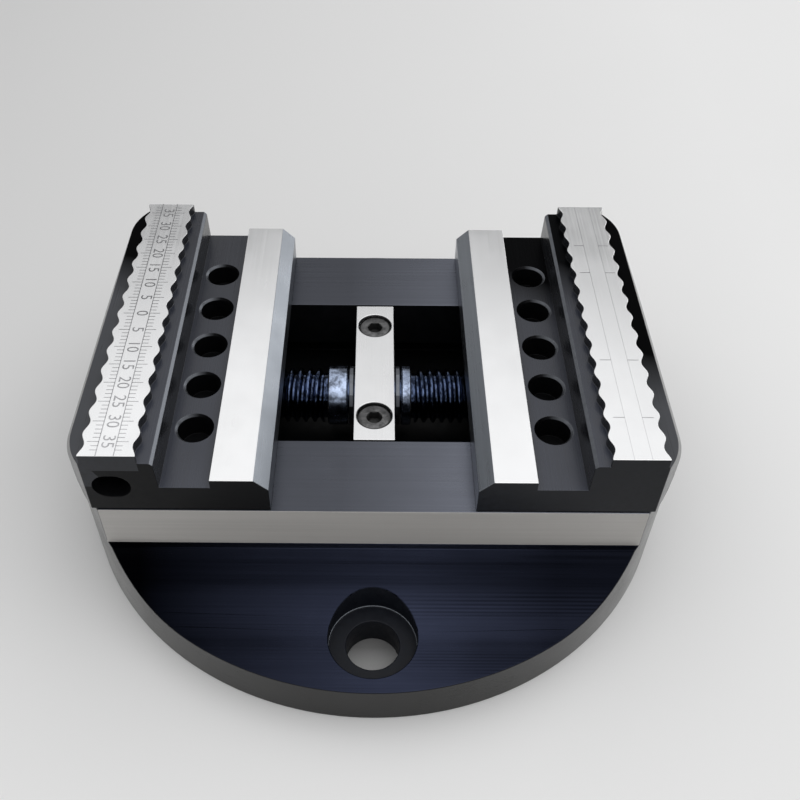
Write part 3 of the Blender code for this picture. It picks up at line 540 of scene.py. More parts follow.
def hole_edge():
    """Return the edge finish of the trench holes: a painted highlight on the side away from the vise's middle
    and painted shade on the side towards it.
    """
    recipe = Recipe("hole_edge_painted_highlight", HOLE_EDGE_COLOUR, 0.36, 0.9)
    normal = recipe.node("ShaderNodeNewGeometry").outputs["Normal"]
    facing = recipe.node("ShaderNodeSeparateXYZ", {"Vector": normal}).outputs["X"]
    place = recipe.node("ShaderNodeSeparateXYZ", {"Vector": recipe.place}).outputs["X"]
    inward = recipe.maths("MULTIPLY", facing, -1)
    outward = recipe.maths("MULTIPLY", recipe.maths("SIGN", place, 0), inward)
    shade = recipe.blend(recipe.ramp(outward, -0.1, 0.6), HOLE_EDGE_PAINTED_SHADE, HOLE_EDGE_PAINTED_HIGHLIGHT)
    grain = recipe.noise(FINE_GRAIN)
    recipe.colour(recipe.dim(shade, recipe.ramp(grain, 0.3, 0.7, 0.8, 1.1)))
    recipe.roughness(recipe.ramp(grain, 0.3, 0.7, 0.3, 0.42))
    return recipe.material


def bolt_way():
    """Return the finish of the bolt holes: painted shade, with a painted highlight line round the foot of the
    wall.
    """
    recipe = Recipe("bolt_way_painted_shade", BOLT_WAY_SHADE_COLOUR, 0.5, 0.0)
    recipe.shader.inputs["Specular IOR Level"].default_value = 0.25
    normal = recipe.node("ShaderNodeNewGeometry").outputs["Normal"]
    upright = recipe.node("ShaderNodeSeparateXYZ", {"Vector": normal}).outputs["Z"]
    wall = recipe.ramp(recipe.maths("ABSOLUTE", upright, 0), 0.4, 0.6, 1.0, 0.0)
    edges = []
    for end, middle in zip(BOLT_LINE_ENDS, BOLT_LINE_MIDDLE):
        edges.append(recipe.along("Z", BOLT_SEAT / MM + end, BOLT_SEAT / MM + middle, 0.0, 1.0))
    foot = recipe.maths("MULTIPLY", *edges)
    grain = recipe.noise(HOLE_GRAIN)
    shade = recipe.blend(recipe.ramp(grain, 0.3, 0.7), BOLT_WAY_DARK, BOLT_WAY_LIGHT)
    recipe.colour(recipe.blend(recipe.maths("MULTIPLY", wall, foot), shade, BOLT_LINE_HIGHLIGHT_COLOUR))
    recipe.roughness(recipe.ramp(grain, 0.3, 0.7, 0.42, 0.58))
    return recipe.material


def make_materials(finishes):
    """Make every finish of the vise and keep it by its name."""
    jaw = tuple(finishes.jaw_colour)
    ground = tuple(finishes.ground_colour)
    MATERIALS["oxide"] = machined(
        "black_oxide", tuple(finishes.body_colour), 0.30, 1.0, BASE_GRAIN, 0.16, 0.0015 * MM,
        painted_shading=BASE_PAINTED_SHADING, ruled=0.5,
    )
    MATERIALS["pit_shade"] = bolt_way()
    # Holes and the slot: a darker copy of the jaws' oxide, painted shade
    MATERIALS["bore"] = machined("bore_painted_shade", scaled(jaw, 0.25), 0.45, 0.0, EVEN_GRAIN, 0.3, specular=0.15)
    MATERIALS["rim"] = machined("turned_rim", RIM_COLOUR, 0.22, 0.0, TURNED_GRAIN, 0.3, painted_shading=RIM_PAINTED_SHADING)
    MATERIALS["jaw"] = machined("charcoal_oxide", jaw, 0.24, 0.0, JAW_GRAIN, 0.3, 0.001 * MM)
    MATERIALS["milled"] = machined(
        "milled_oxide", MILLED_COLOUR, 0.27, 0.0, GROUND_GRAIN, 0.12, 0.0008 * MM, painted_shading=MILLED_PAINTED_SHADING,
    )
    MATERIALS["outer"] = machined(
        "outer_ledge_oxide", OUTER_LEDGE_COLOUR, 0.30, 0.0, GROUND_GRAIN, 0.12, 0.0008 * MM,
        painted_shading=OUTER_LEDGE_PAINTED_SHADING,
    )
    MATERIALS["end"] = machined(
        "end_oxide_painted_shade", END_SHADE_COLOUR, 0.34, 0.0, EVEN_GRAIN, 0.3, 0.001 * MM, specular=0.22, painted_shading=END_PAINTED_SHADING,
    )
    MATERIALS["ground"] = machined("ground_steel", ground, 0.20, 1.0, GROUND_GRAIN, 0.02, 0.0006 * MM)
    MATERIALS["flank"] = machined(
        "jaw_wall_steel", tuple(finishes.flank_colour), 0.30, 1.0, GROUND_GRAIN, 0.08, 0.001 * MM,
    )
    MATERIALS["crescent_highlight"] = hole_edge()
    MATERIALS["bar"] = machined("bar_steel", scaled(ground, 0.86), 0.24, 1.0, GROUND_GRAIN, 0.04)
    MATERIALS["rail"] = machined(
        "rail_steel", tuple(finishes.rail_colour), 0.30, 0.85, RAIL_GRAIN, 0.10, 0.0006 * MM,
        painted_shading=RAIL_PAINTED_SHADING,
    )
    MATERIALS["band"] = machined(
        "band_steel", tuple(finishes.band_colour), 0.52, 0.10, RAIL_GRAIN, 0.07, 0.001 * MM,
    )
    MATERIALS["spindle"] = machined(
        "oiled_spindle", tuple(finishes.spindle_colour), 0.14, 1.0, SPINDLE_GRAIN, 0.9, sharp=0.09,
    )
    MATERIALS["collar"] = machined("collar_painted_highlight", COLLAR_HIGHLIGHT_COLOUR, 0.22, 1.0, COLLAR_GRAIN, 0.7, sharp=0.12)
    MATERIALS["bronze"] = machined("nut_bronze", tuple(finishes.bronze_colour), 0.32, 1.0, NUT_GRAIN, 0.2)
    MATERIALS["screw"] = machined("screw_steel", tuple(finishes.screw_colour), 0.40, 0.6, EVEN_GRAIN, 0.3)
    MATERIALS["head"] = machined(
        "screw_head_steel", SCREW_HEAD_COLOUR, 0.34, 0.85, HEAD_GRAIN, 0.55, sharp=0.14,
    )
    MATERIALS["washer"] = machined("washer_steel", WASHER_COLOUR, 0.32, 1.0, FINE_GRAIN, 0.2)
    MATERIALS["mark"] = machined(
        "engraved_mark", tuple(finishes.mark_colour), 0.6, 0.0, FINE_GRAIN, 0.3, painted_shading=MARK_PAINTED_SHADING,
    )


MATERIALS = {}


def extruded(outline, direction, start, end):
    """Return a bmesh of a closed outline extruded along a direction."""
    bm = bmesh.new()
    face = bm.faces.new([bm.verts.new(direction @ Vector((u, v, start))) for u, v in outline])
    grown = bmesh.ops.extrude_face_region(bm, geom=[face])
    moved = [item for item in grown["geom"] if isinstance(item, bmesh.types.BMVert)]
    bmesh.ops.translate(bm, verts=moved, vec=direction @ Vector((0, 0, end - start)))
    bmesh.ops.recalc_face_normals(bm, faces=bm.faces)
    return bm


def lathed(profile, direction, steps, centre=Vector((0, 0, 0))):
    """Return a bmesh of a (radius, distance) profile spun round a direction."""
    bm = bmesh.new()
    points = [(0, profile[0][1])] + list(profile) + [(0, profile[-1][1])]
    chain = [bm.verts.new(Vector((radius, 0, along))) for radius, along in points]
    edges = [bm.edges.new(pair) for pair in zip(chain, chain[1:])]
    bmesh.ops.spin(
        bm, geom=chain + edges, cent=(0, 0, 0), axis=(0, 0, 1), angle=TURN, steps=steps, use_merge=True,
    )
    bmesh.ops.remove_doubles(bm, verts=bm.verts, dist=WELD)
    bmesh.ops.transform(bm, matrix=Matrix.Translation(centre) @ direction.to_4x4(), verts=bm.verts)
    bmesh.ops.recalc_face_normals(bm, faces=bm.faces)
    return bm


def to_object(bm, name, material=None):
    """Turn a bmesh into a linked object."""
    mesh = bpy.data.meshes.new(name)
    bm.to_mesh(mesh)
    bm.free()
    obj = bpy.data.objects.new(name, mesh)
    bpy.context.scene.collection.objects.link(obj)
    if material is not None:
        mesh.materials.append(material)
    return obj


def evaluated_mesh(obj):
    """Return a new mesh with an object's modifiers applied."""
    graph = bpy.context.evaluated_depsgraph_get()
    return bpy.data.meshes.new_from_object(obj.evaluated_get(graph), depsgraph=graph)


def combine(obj, tools):
    """Cut, join or trim an object with (operation, bmesh) tools and remove the tools."""
    made = []
    for operation, bm in tools:
        tool = to_object(bm, "tool")
        made.append(tool)
        modifier = obj.modifiers.new("tool", "BOOLEAN")
        modifier.operation = operation
        modifier.solver = "EXACT"
        modifier.object = tool
    mesh = evaluated_mesh(obj)
    obj.modifiers.clear()
    old = obj.data
    obj.data = mesh
    mesh.name = obj.name
    bpy.data.meshes.remove(old)
    for tool in made:
        data = tool.data
        bpy.data.objects.remove(tool)
        bpy.data.meshes.remove(data)
    tidy = bmesh.new()
    tidy.from_mesh(mesh)
    bmesh.ops.remove_doubles(tidy, verts=tidy.verts, dist=CUT_WELD)
    bmesh.ops.dissolve_limit(
        tidy, angle_limit=math.radians(FLAT_ANGLE), verts=tidy.verts, edges=tidy.edges, delimit={"MATERIAL"},
    )
    tidy.to_mesh(mesh)
    tidy.free()
    return obj


def soften(obj, width, angle=SMOOTH_ANGLE):
    """Round an object's sharp edges and shade its curved faces smooth."""
    obj.data.shade_smooth()
    obj.data.set_sharp_from_angle(angle=math.radians(angle))
    if width:
        bevel = obj.modifiers.new("Edge break", "BEVEL")
        bevel.width = width
        bevel.segments = EDGE_STEPS
        bevel.profile = 0.5
        bevel.limit_method = "ANGLE"
        bevel.angle_limit = math.radians(angle)
        bevel.use_clamp_overlap = False
        bevel.harden_normals = True
        bevel.miter_outer = "MITER_ARC"
    return obj


def paint(obj, keys, choose):
    """Give each face the finish, one of the keys, that choose(centre, normal) returns."""
    obj.data.materials.clear()
    for key in keys:
        obj.data.materials.append(MATERIALS[key])
    for face in obj.data.polygons:
        face.material_index = keys.index(choose(face.center, face.normal))


def fit(obj, body, slot, *nodes):
    """Make a piece move with a body and stand for CAD nodes, which it hides; slot is not used."""
    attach(obj, body)
    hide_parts(*nodes)
    return obj


def fillet_arc():
    """Return the swept fillet's points, from the ledge under the band down to the disc."""
    centre_height = DISC_TOP + FILLET_RADIUS
    first = math.asin((centre_height - BAND_BOTTOM) / FILLET_RADIUS)
    centre_across = BAND_HALF_WIDTH + FLANK_LEDGE + FILLET_RADIUS * math.cos(first)
    points = []
    for step in range(FILLET_STEPS + 1):
        angle = first + (TURN / 4 - first) * step / FILLET_STEPS
        points.append((
            centre_across - FILLET_RADIUS * math.cos(angle), centre_height - FILLET_RADIUS * math.sin(angle),
        ))
    return points


def rod(radius, start, end):
    """Return the profile of a plain rod or hole."""
    return [(radius, start), (radius, end)]


def hexagon(across_flats):
    """Return the corners of a hexagon."""
    corner = across_flats / math.sqrt(3)
    return [(corner * math.cos(TURN * i / 6), corner * math.sin(TURN * i / 6)) for i in range(6)]


def build_body(sizes):
    """Build the round base with its block, slot, bands and holes."""
    far = BODY_RADIUS + OVERRUN
    above = BODY_TOP + OVERRUN
    body = to_object(lathed(rod(BODY_RADIUS, 0, BODY_TOP), ALONG_Z, ROUND_STEPS), "vise_base_block")
    tools = []
    for side in (-1, 1):
        waste = [(BAND_HALF_WIDTH, above), (BAND_HALF_WIDTH, BAND_BOTTOM)] + fillet_arc()
        waste += [(far, DISC_TOP), (far, above)]
        tools.append(("DIFFERENCE", extruded([(side * u, v) for u, v in waste], ALONG_X, -far, far)))
        outline = [(-far, DISC_TOP), (far, DISC_TOP), (far, above), (-far, above)]
        tools.append(("DIFFERENCE", extruded(outline, ALONG_X, side * END_FLAT, side * far)))
        bolt_way = [
            (BOLT_RADIUS, -OVERRUN), (BOLT_RADIUS, BOLT_SEAT), (BOLT_SEAT_RADIUS, BOLT_SEAT),
            (BOLT_SEAT_RADIUS, BAND_BOTTOM + OVERRUN),
        ]
        tools.append(("DIFFERENCE", lathed(bolt_way, ALONG_Z, HOLE_STEPS, Vector((0, side * BOLT_Y, 0)))))
        for place, radius in ((BEARING_SCREW_Y, BEARING_SCREW["shank"]), (DOWEL_Y, DOWEL_RADIUS)):
            hole = rod(radius + GAP, BASE_WEB, SLOT_FLOOR + OVERRUN)
            tools.append(("DIFFERENCE", lathed(hole, ALONG_Z, HOLE_STEPS // 2, Vector((0, side * place, 0)))))
    slot = [
        (-SLOT_HALF_WIDTH, above), (-SLOT_HALF_WIDTH, LIP_UNDERSIDE), (-UNDERCUT_HALF_WIDTH, LIP_UNDERSIDE),
        (-UNDERCUT_HALF_WIDTH, SLOT_FLOOR), (UNDERCUT_HALF_WIDTH, SLOT_FLOOR),
        (UNDERCUT_HALF_WIDTH, LIP_UNDERSIDE), (SLOT_HALF_WIDTH, LIP_UNDERSIDE), (SLOT_HALF_WIDTH, above),
    ]
    tools.append(("DIFFERENCE", extruded(slot, ALONG_X, -far, far)))
    bore = rod(LOCATING_RADIUS, -OVERRUN, LOCATING_DEPTH)
    tools.append(("DIFFERENCE", lathed(bore, ALONG_Z, HOLE_STEPS)))
    combine(body, tools)

    def choose(centre, normal):
        """Bright bands and rails, turned rim, bolt holes and slot in painted shade, oxide elsewhere."""
        across = abs(centre.y)
        on_rim = math.hypot(centre.x, centre.y) > BODY_RADIUS - PAINT_MARGIN
        if centre.z > BODY_TOP - GAP and normal.z > 0.9:
            return "rail"
        if abs(across - BAND_HALF_WIDTH) < GAP and abs(normal.y) > 0.9:
            return "band"
        if centre.z > BAND_BOTTOM and on_rim and across > SLOT_HALF_WIDTH:
            return "band"
        if on_rim and abs(normal.z) < 0.5:
            return "rim"
        # Bolt holes take painted shade
        if math.hypot(centre.x, across - BOLT_Y) < BOLT_SEAT_RADIUS + GAP and 0 < centre.z < BAND_BOTTOM:
            if abs(normal.z) < 0.5 or centre.z < DISC_TOP - PAINT_MARGIN:
                return "pit_shade"
        # The slot's inside takes painted shade
        if across < UNDERCUT_HALF_WIDTH + GAP and centre.z > BASE_WEB and abs(centre.x) < END_FLAT - GAP:
            return "bore"
        return "oxide"

    paint(body, ("oxide", "rail", "band", "rim", "bore", "pit_shade"), choose)
    soften(body, sizes.edge_break)
    return fit(body, "base", "body_steel", "vise_body")


def grip_outline(side, sizes):
    """Return one serrated ridge in plan, with rounded notches along both edges."""
    width = 2 * JAW_HALF
    count = round(width / sizes.scallop_pitch) * SCALLOP_STEPS
    inner = []
    outer = []
    for step in range(count + 1):
        along = width * (step / count) - JAW_HALF
        bite = sizes.scallop_depth * (1 - math.cos(TURN * step / SCALLOP_STEPS)) / 2
        inner.append((side * (GRIP_INNER + bite), along))
        outer.append((side * (GRIP_OUTER - bite), along))
    return inner + outer[::-1]


def stock_outline(across, meet, narrow):
    """Return a level of the jaw's outer shape in plan.

    across is the centre of the corner rounding, meet the angle where it meets the turned corner and
    narrow that angle at the top.
    """
    middle = (JAW_CORNER_RADIUS - CORNER_ROUND) * math.sin(meet)
    half = []
    for step in range(CORNER_STEPS + 1):
        angle = meet * step / CORNER_STEPS
        half.append((across + CORNER_ROUND * math.cos(angle), middle + CORNER_ROUND * math.sin(angle)))
    for first, last, steps in ((meet, narrow, CORNER_STEPS // 2), (narrow, TURN / 4, ROUND_STEPS // 8)):
        for step in range(1, steps + 1):
            angle = first + (last - first) * step / steps
            half.append((JAW_CORNER_RADIUS * math.cos(angle), JAW_CORNER_RADIUS * math.sin(angle)))
    return [(u, -v) for u, v in half[::-1]] + half


def jaw_stock(side):
    """Return the jaw's outer shape: the slanted side, the turned corners and the rounding between them."""
    bm = bmesh.new()
    low = JAW_BOTTOM - OVERRUN
    top = LEDGE_TOP + OVERRUN
    slope = (LEDGE_OUTER - JAW_FOOT_OUTER) / (LEDGE_TOP - JAW_BOTTOM)
    levels = []
    for level in range(STOCK_LEVELS + 1):
        height = low + (top - low) * level / STOCK_LEVELS
        across = JAW_FOOT_OUTER + slope * (height - JAW_BOTTOM) - CORNER_ROUND
        levels.append((height, across, math.acos(across / (JAW_CORNER_RADIUS - CORNER_ROUND))))
    narrow = levels[-1][2]
    rings = []
    for height, across, meet in levels:
        corners = [bm.verts.new((side * u, v, height)) for u, v in stock_outline(across, meet, narrow)]
        rings.append([bm.edges.new(pair) for pair in zip(corners, corners[1:] + corners[:1])])
    for lower, upper in zip(rings, rings[1:]):
        bmesh.ops.bridge_loops(bm, edges=lower + upper)
    bmesh.ops.holes_fill(bm, edges=rings[0] + rings[-1], sides=0)
    bmesh.ops.remove_doubles(bm, verts=bm.verts, dist=CUT_WELD)
    bmesh.ops.recalc_face_normals(bm, faces=bm.faces)
    return bm


def build_jaw(side, word, sizes):
    """Build one jaw with its serrated ridge, trench, holes and foot."""
    profile = [
        (JAW_OPENING, JAW_BOTTOM), (JAW_FOOT_OUTER + OVERRUN, JAW_BOTTOM), (LEDGE_OUTER + OVERRUN, LEDGE_TOP),
        (LEDGE_INNER + LEDGE_CHAMFER, LEDGE_TOP), (LEDGE_INNER, LEDGE_TOP - LEDGE_CHAMFER),
        (TRENCH_OUTER, TRENCH_TOP), (RIDGE_OUTER, TRENCH_TOP), (RIDGE_OUTER, RIDGE_TOP),
        (JAW_OPENING + RIDGE_CHAMFER, RIDGE_TOP), (JAW_OPENING, RIDGE_TOP - RIDGE_CHAMFER),
    ]
    flat = [(side * u, -v) for u, v in profile]
    jaw = to_object(extruded(flat, ALONG_Y, -JAW_HALF, JAW_HALF), f"{word}_serrated_jaw")
    tools = [("INTERSECT", jaw_stock(side))]
    ridge = extruded(grip_outline(side, sizes), ALONG_Z, LEDGE_TOP - OVERRUN, GRIP_TOP)
    tools.append(("UNION", ridge))
    neck = SLOT_HALF_WIDTH - GAP
    flange = UNDERCUT_HALF_WIDTH - GAP
    shoulder = LIP_UNDERSIDE - GAP
    sole = SLOT_FLOOR + GAP
    foot = [
        (-neck, JAW_BOTTOM + OVERRUN), (-neck, shoulder), (-flange, shoulder), (-flange, sole),
        (flange, sole), (flange, shoulder), (neck, shoulder), (neck, JAW_BOTTOM + OVERRUN),
    ]
    tools.append(("UNION", extruded(foot, ALONG_X, side * FOOT_INNER, side * FOOT_OUTER)))
    barrel_end = FOOT_INNER + BARREL_LENGTH
    barrel_way = BARREL_RADIUS + GAP
    spindle_way = THREAD_RADIUS + SPINDLE_CLEARANCE
    nut_way = [
        (barrel_way, side * (FOOT_INNER - OVERRUN)), (barrel_way, side * barrel_end),
        (spindle_way, side * barrel_end), (spindle_way, side * (FOOT_OUTER + OVERRUN)),
    ]
    tools.append(("DIFFERENCE", lathed(nut_way, ALONG_X, HOLE_STEPS, AXIS)))
    for end in (-1, 1):
        reach = FOOT_INNER - GAP - FLANGE_THICKNESS + NUT_SEAT_DEPTH + NUT_SCREW["length"] + SCREW_HOLE_SPARE
        hole = rod(NUT_SCREW["shank"] + GAP, side * (FOOT_INNER - OVERRUN), side * reach)
        centre = AXIS + Vector((0, end * NUT_SCREW_Y, 0))
        tools.append(("DIFFERENCE", lathed(hole, ALONG_X, HOLE_STEPS // 2, centre)))
    mouth = TRENCH_HOLE_RADIUS + TRENCH_HOLE_EDGE
    pocket = [
        (TRENCH_HOLE_RADIUS, TRENCH_HOLE_FLOOR), (TRENCH_HOLE_RADIUS, TRENCH_TOP - TRENCH_HOLE_EDGE),
        (mouth, TRENCH_TOP), (mouth, TRENCH_TOP + OVERRUN),
    ]
    for index in range(-2, 3):
        centre = Vector((side * TRENCH_HOLE_X, index * TRENCH_HOLE_SPACING, 0))
        tools.append(("DIFFERENCE", lathed(pocket, ALONG_Z, HOLE_STEPS, centre)))
    if side < 0:
        tools.append(("DIFFERENCE", side_hole()))
    combine(jaw, tools)

    def choose(centre, normal):
        """Bright tops and inner walls, holes in painted shade, end faces in a darker copy of the oxide as
        painted shade, hole and ledge edges with a painted highlight, oxide elsewhere.
        """
        across = abs(centre.x)
        if normal.z > 0.9:
            if centre.z > GRIP_TOP - GAP or abs(centre.z - RIDGE_TOP) < GAP:
                return "ground"
            if across > GRIP_OUTER - sizes.scallop_depth and centre.z > TRENCH_TOP:
                return "outer"
            # Milled tops take painted shade and light; hole floors below them take painted shade
            return "milled" if centre.z > TRENCH_TOP - GAP / 2 else "bore"
        if across < JAW_OPENING + RIDGE_CHAMFER and centre.z > JAW_BOTTOM and normal.x * side < -0.3:
            return "flank"
        # The side hole takes painted shade
        if side < 0 and -JAW_HALF < centre.y < -GRIP_OUTER / 2:
            beside = abs(across - SIDE_HOLE_X) < SIDE_HOLE_LENGTH / 2 + GAP
            if beside and abs(centre.z - SIDE_HOLE_Z) < SIDE_HOLE_WIDTH / 2 + GAP:
                return "bore"
        # Trench holes: painted shade on the walls and floors, painted highlight on the edges
        beside = abs(across - TRENCH_HOLE_X) < TRENCH_HOLE_RADIUS + PAINT_MARGIN
        if beside and abs(centre.y) < JAW_HALF - PAINT_MARGIN:
            if TRENCH_HOLE_FLOOR - GAP < centre.z < TRENCH_TOP - TRENCH_HOLE_EDGE:
                return "bore"
            if TRENCH_TOP - TRENCH_HOLE_EDGE < centre.z < TRENCH_TOP:
                return "crescent_highlight"
        # End faces take the darker copy of the oxide, painted shade
        if abs(normal.y) > 0.9 and abs(centre.y) > JAW_HALF - GAP:
            return "end"
        # The ledge's inner chamfer takes the painted highlight
        if LEDGE_TOP - LEDGE_CHAMFER < centre.z < LEDGE_TOP and across < LEDGE_INNER + LEDGE_CHAMFER:
            return "crescent_highlight" if normal.z > 0.3 else "jaw"
        return "jaw"

    paint(jaw, ("jaw", "ground", "flank", "bore", "milled", "end", "crescent_highlight", "outer"), choose)
    soften(jaw, JAW_EDGE_BREAK)
    return fit(jaw, f"{word}_carriage", "jaw_steel", f"{word}_jaw")


def side_hole():
    """Return the oblong hole in the front face of the left jaw."""
    radius = SIDE_HOLE_WIDTH / 2
    straight = (SIDE_HOLE_LENGTH - SIDE_HOLE_WIDTH) / 2
    steps = HOLE_STEPS // 2
    outline = []
    for end in (1, -1):
        for step in range(steps + 1):
            angle = math.pi * step / steps - math.pi / 2
            across = end * (straight + radius * math.cos(angle)) - SIDE_HOLE_X
            outline.append((across, -(SIDE_HOLE_Z + end * radius * math.sin(angle))))
    return extruded(outline, ALONG_Y, -JAW_HALF - OVERRUN, -JAW_HALF + SIDE_HOLE_DEPTH)


def text_bmesh(words, height, depth):
    """Return a bmesh of solid digits that stand on the middle of their own width."""
    curve = bpy.data.curves.new("digits", "FONT")
    curve.body = words
    curve.size = height / DIGIT_HEIGHT_SHARE
    curve.align_x = "CENTER"
    curve.align_y = "CENTER"
    curve.extrude = depth
    curve.resolution_u = DIGIT_STEPS
    holder = bpy.data.objects.new("digits", curve)
    bpy.context.scene.collection.objects.link(holder)
    mesh = evaluated_mesh(holder)
    bm = bmesh.new()
    bm.from_mesh(mesh)
    bmesh.ops.remove_doubles(bm, verts=bm.verts, dist=WELD)
    bpy.data.objects.remove(holder)
    bpy.data.curves.remove(curve)
    bpy.data.meshes.remove(mesh)
    return bm


def box_bmesh(low, high):
    """Return a box between two corners."""
    bm = bmesh.new()
    bmesh.ops.create_cube(bm, size=1.0)
    size = Vector(high) - Vector(low)
    middle = (Vector(high) + Vector(low)) / 2
    place = Matrix.Translation(middle) @ Matrix.Diagonal((*size, 1.0))
    bmesh.ops.transform(bm, matrix=place, verts=bm.verts)
    return bm


def merge(target, bm):
    """Add one bmesh to another."""
    mesh = bpy.data.meshes.new("merged")
    bm.to_mesh(mesh)
    bm.free()
    target.from_mesh(mesh)
    bpy.data.meshes.remove(mesh)


def strip_marks(side, half_line, marks, sizes):
    """Return a strip's two lines and its marks, each a place along the strip and a length."""
    bm = bmesh.new()
    low = GRIP_TOP - sizes.mark_depth
    high = GRIP_TOP + MARK_PROUD
    half = MARK_WIDTH / 2
    for line, way in ((LINE_INNER, -1), (LINE_OUTER, 1)):
        middle = side * line
        merge(bm, box_bmesh((middle - half_line, -JAW_HALF, low), (middle + half_line, JAW_HALF, high)))
        for along, length in marks:
            near, far = sorted((middle, side * (line + way * length)))
            merge(bm, box_bmesh((near, along - half, low), (far, along + half, high)))
    return bm


def settle_marks(bm, name, body):
    """Make engraved marks an object that rides with its jaw."""
    marks = to_object(bm, name, MATERIALS["mark"])
    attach(marks, body)


def build_scale(sizes):
    """Build the left jaw's scale: lines, millimetre marks and plain numbers let into the strip."""
    marks = []
    for mark in range(-SCALE_REACH - 2, SCALE_REACH + 3):
        marks.append((mark * MM, LONG_MARK if mark % SCALE_STEP == 0 else SHORT_MARK))
    bm = strip_marks(-1, MARK_WIDTH / 2, marks, sizes)
    height = GRIP_TOP + MARK_PROUD - sizes.mark_depth
    middle = (LINE_INNER + LINE_OUTER) / 2
    turn = Matrix.Rotation(-TURN / 4, 4, "Z")
    for number in range(-SCALE_REACH, SCALE_REACH + 1, SCALE_STEP):
        digits = text_bmesh(str(abs(number)), DIGIT_HEIGHT, sizes.mark_depth)
        place = Matrix.Translation((-middle, number * MM, height))
        bmesh.ops.transform(digits, matrix=place @ turn, verts=digits.verts)
        merge(bm, digits)
    settle_marks(bm, "left_jaw_scale", "left_carriage")


def build_setting_marks(sizes):
    """Build the right jaw's few setting marks and its two fine lines."""
    marks = [(along, LONG_MARK) for along in STRIP_MARKS]
    settle_marks(strip_marks(1, MARK_WIDTH / 6, marks, sizes), "right_jaw_marks", "right_carriage")


def thread_bmesh(side, start, end, pitch):
    """Return a closed helical thread between two planes; the left side's is left-handed."""
    root = THREAD_ROOT_SHARE * pitch
    rise = root + THREAD_SLOPE_SHARE * pitch
    fall = rise + THREAD_CREST_SHARE * pitch
    rounded = THREAD_ROUND_SHARE * pitch
    shoulder = THREAD_RADIUS - CREST_STEP
    profile = [
        (0, ROOT_RADIUS), (root, ROOT_RADIUS), (rise, shoulder), (rise + rounded, THREAD_RADIUS),
        (fall - rounded, THREAD_RADIUS), (fall, shoulder), (pitch - root, ROOT_RADIUS), (pitch, ROOT_RADIUS),
    ]
    bm = bmesh.new()
    begin = start - 2 * pitch
    chain = [bm.verts.new((side * (begin + along), radius, 0)) for along, radius in profile]
    edges = [bm.edges.new(pair) for pair in zip(chain, chain[1:])]
    turns = math.ceil((end - start) / pitch) + 4
    steps = turns * THREAD_STEPS
    bmesh.ops.spin(
        bm, geom=chain + edges, cent=(0, 0, 0), axis=(1, 0, 0), angle=TURN * turns, steps=steps,
        dvec=(side * pitch / THREAD_STEPS, 0, 0),
    )
    bmesh.ops.remove_doubles(bm, verts=bm.verts, dist=THREAD_WELD)
    for plane, way in ((start, -1), (end, 1)):
        bmesh.ops.bisect_plane(
            bm, geom=list(bm.verts) + list(bm.edges) + list(bm.faces), dist=THREAD_CUT_WELD,
            plane_co=(side * plane, 0, 0), plane_no=(side * way, 0, 0), clear_outer=True,
        )
    loose = [vert for vert in bm.verts if not vert.link_faces]
    bmesh.ops.delete(bm, geom=loose, context="VERTS")
    rim = [edge for edge in bm.edges if len(edge.link_faces) == 1]
    bmesh.ops.holes_fill(bm, edges=rim, sides=0)
    bmesh.ops.translate(bm, verts=bm.verts, vec=AXIS)
    bmesh.ops.recalc_face_normals(bm, faces=bm.faces)
    return bm


def build_spindle(sizes):
    """Build the spindle with opposite threads, collars, neck and hexagon sockets."""
    journal = ROOT_RADIUS - JOURNAL_STEP
    edge = SPINDLE_EDGE
    profile = []
    for side in (-1, 1):
        collar = NECK_HALF_LENGTH + COLLAR_LENGTHS[side]
        steps = [
            (NECK_RADIUS, NECK_HALF_LENGTH), (COLLAR_RADIUS - edge, NECK_HALF_LENGTH),
            (COLLAR_RADIUS, NECK_HALF_LENGTH + edge), (COLLAR_RADIUS, collar - edge),
            (COLLAR_RADIUS - edge, collar), (journal, collar),
            (journal, SPINDLE_END - edge), (journal - edge, SPINDLE_END),
        ]
        points = [(radius, side * along) for radius, along in steps]
        profile = points[::-1] if side < 0 else profile + points
    spindle = to_object(lathed(profile, ALONG_X, THREAD_STEPS, AXIS), "twin_thread_spindle")
    tools = []
    for side in (-1, 1):
        start = NECK_HALF_LENGTH + COLLAR_LENGTHS[side] + THREAD_RELIEF
        tools.append(("UNION", thread_bmesh(side, start, THREAD_END, sizes.thread_pitch)))
    for side in (-1, 1):
        floor = side * (SPINDLE_END - DRIVE_DEPTH)
        socket = extruded(hexagon(DRIVE_FLATS), ALONG_X, floor, side * (SPINDLE_END + OVERRUN))
        bmesh.ops.translate(socket, verts=socket.verts, vec=AXIS)
        tools.append(("DIFFERENCE", socket))
    combine(spindle, tools)
    reach = NECK_HALF_LENGTH + max(COLLAR_LENGTHS.values())

    def choose(centre, normal):
        """Collars with a painted highlight, oiled steel elsewhere."""
        wide = math.hypot(centre.y, centre.z - AXIS_Z) > THREAD_RADIUS + GAP / 2
        return "collar" if wide and NECK_HALF_LENGTH - GAP < abs(centre.x) < reach + GAP else "spindle"

    paint(spindle, ("spindle", "collar"), choose)
    soften(spindle, 0, angle=SPINDLE_SMOOTH_ANGLE)
    return fit(spindle, "screw", "spindle_steel", "spindle")


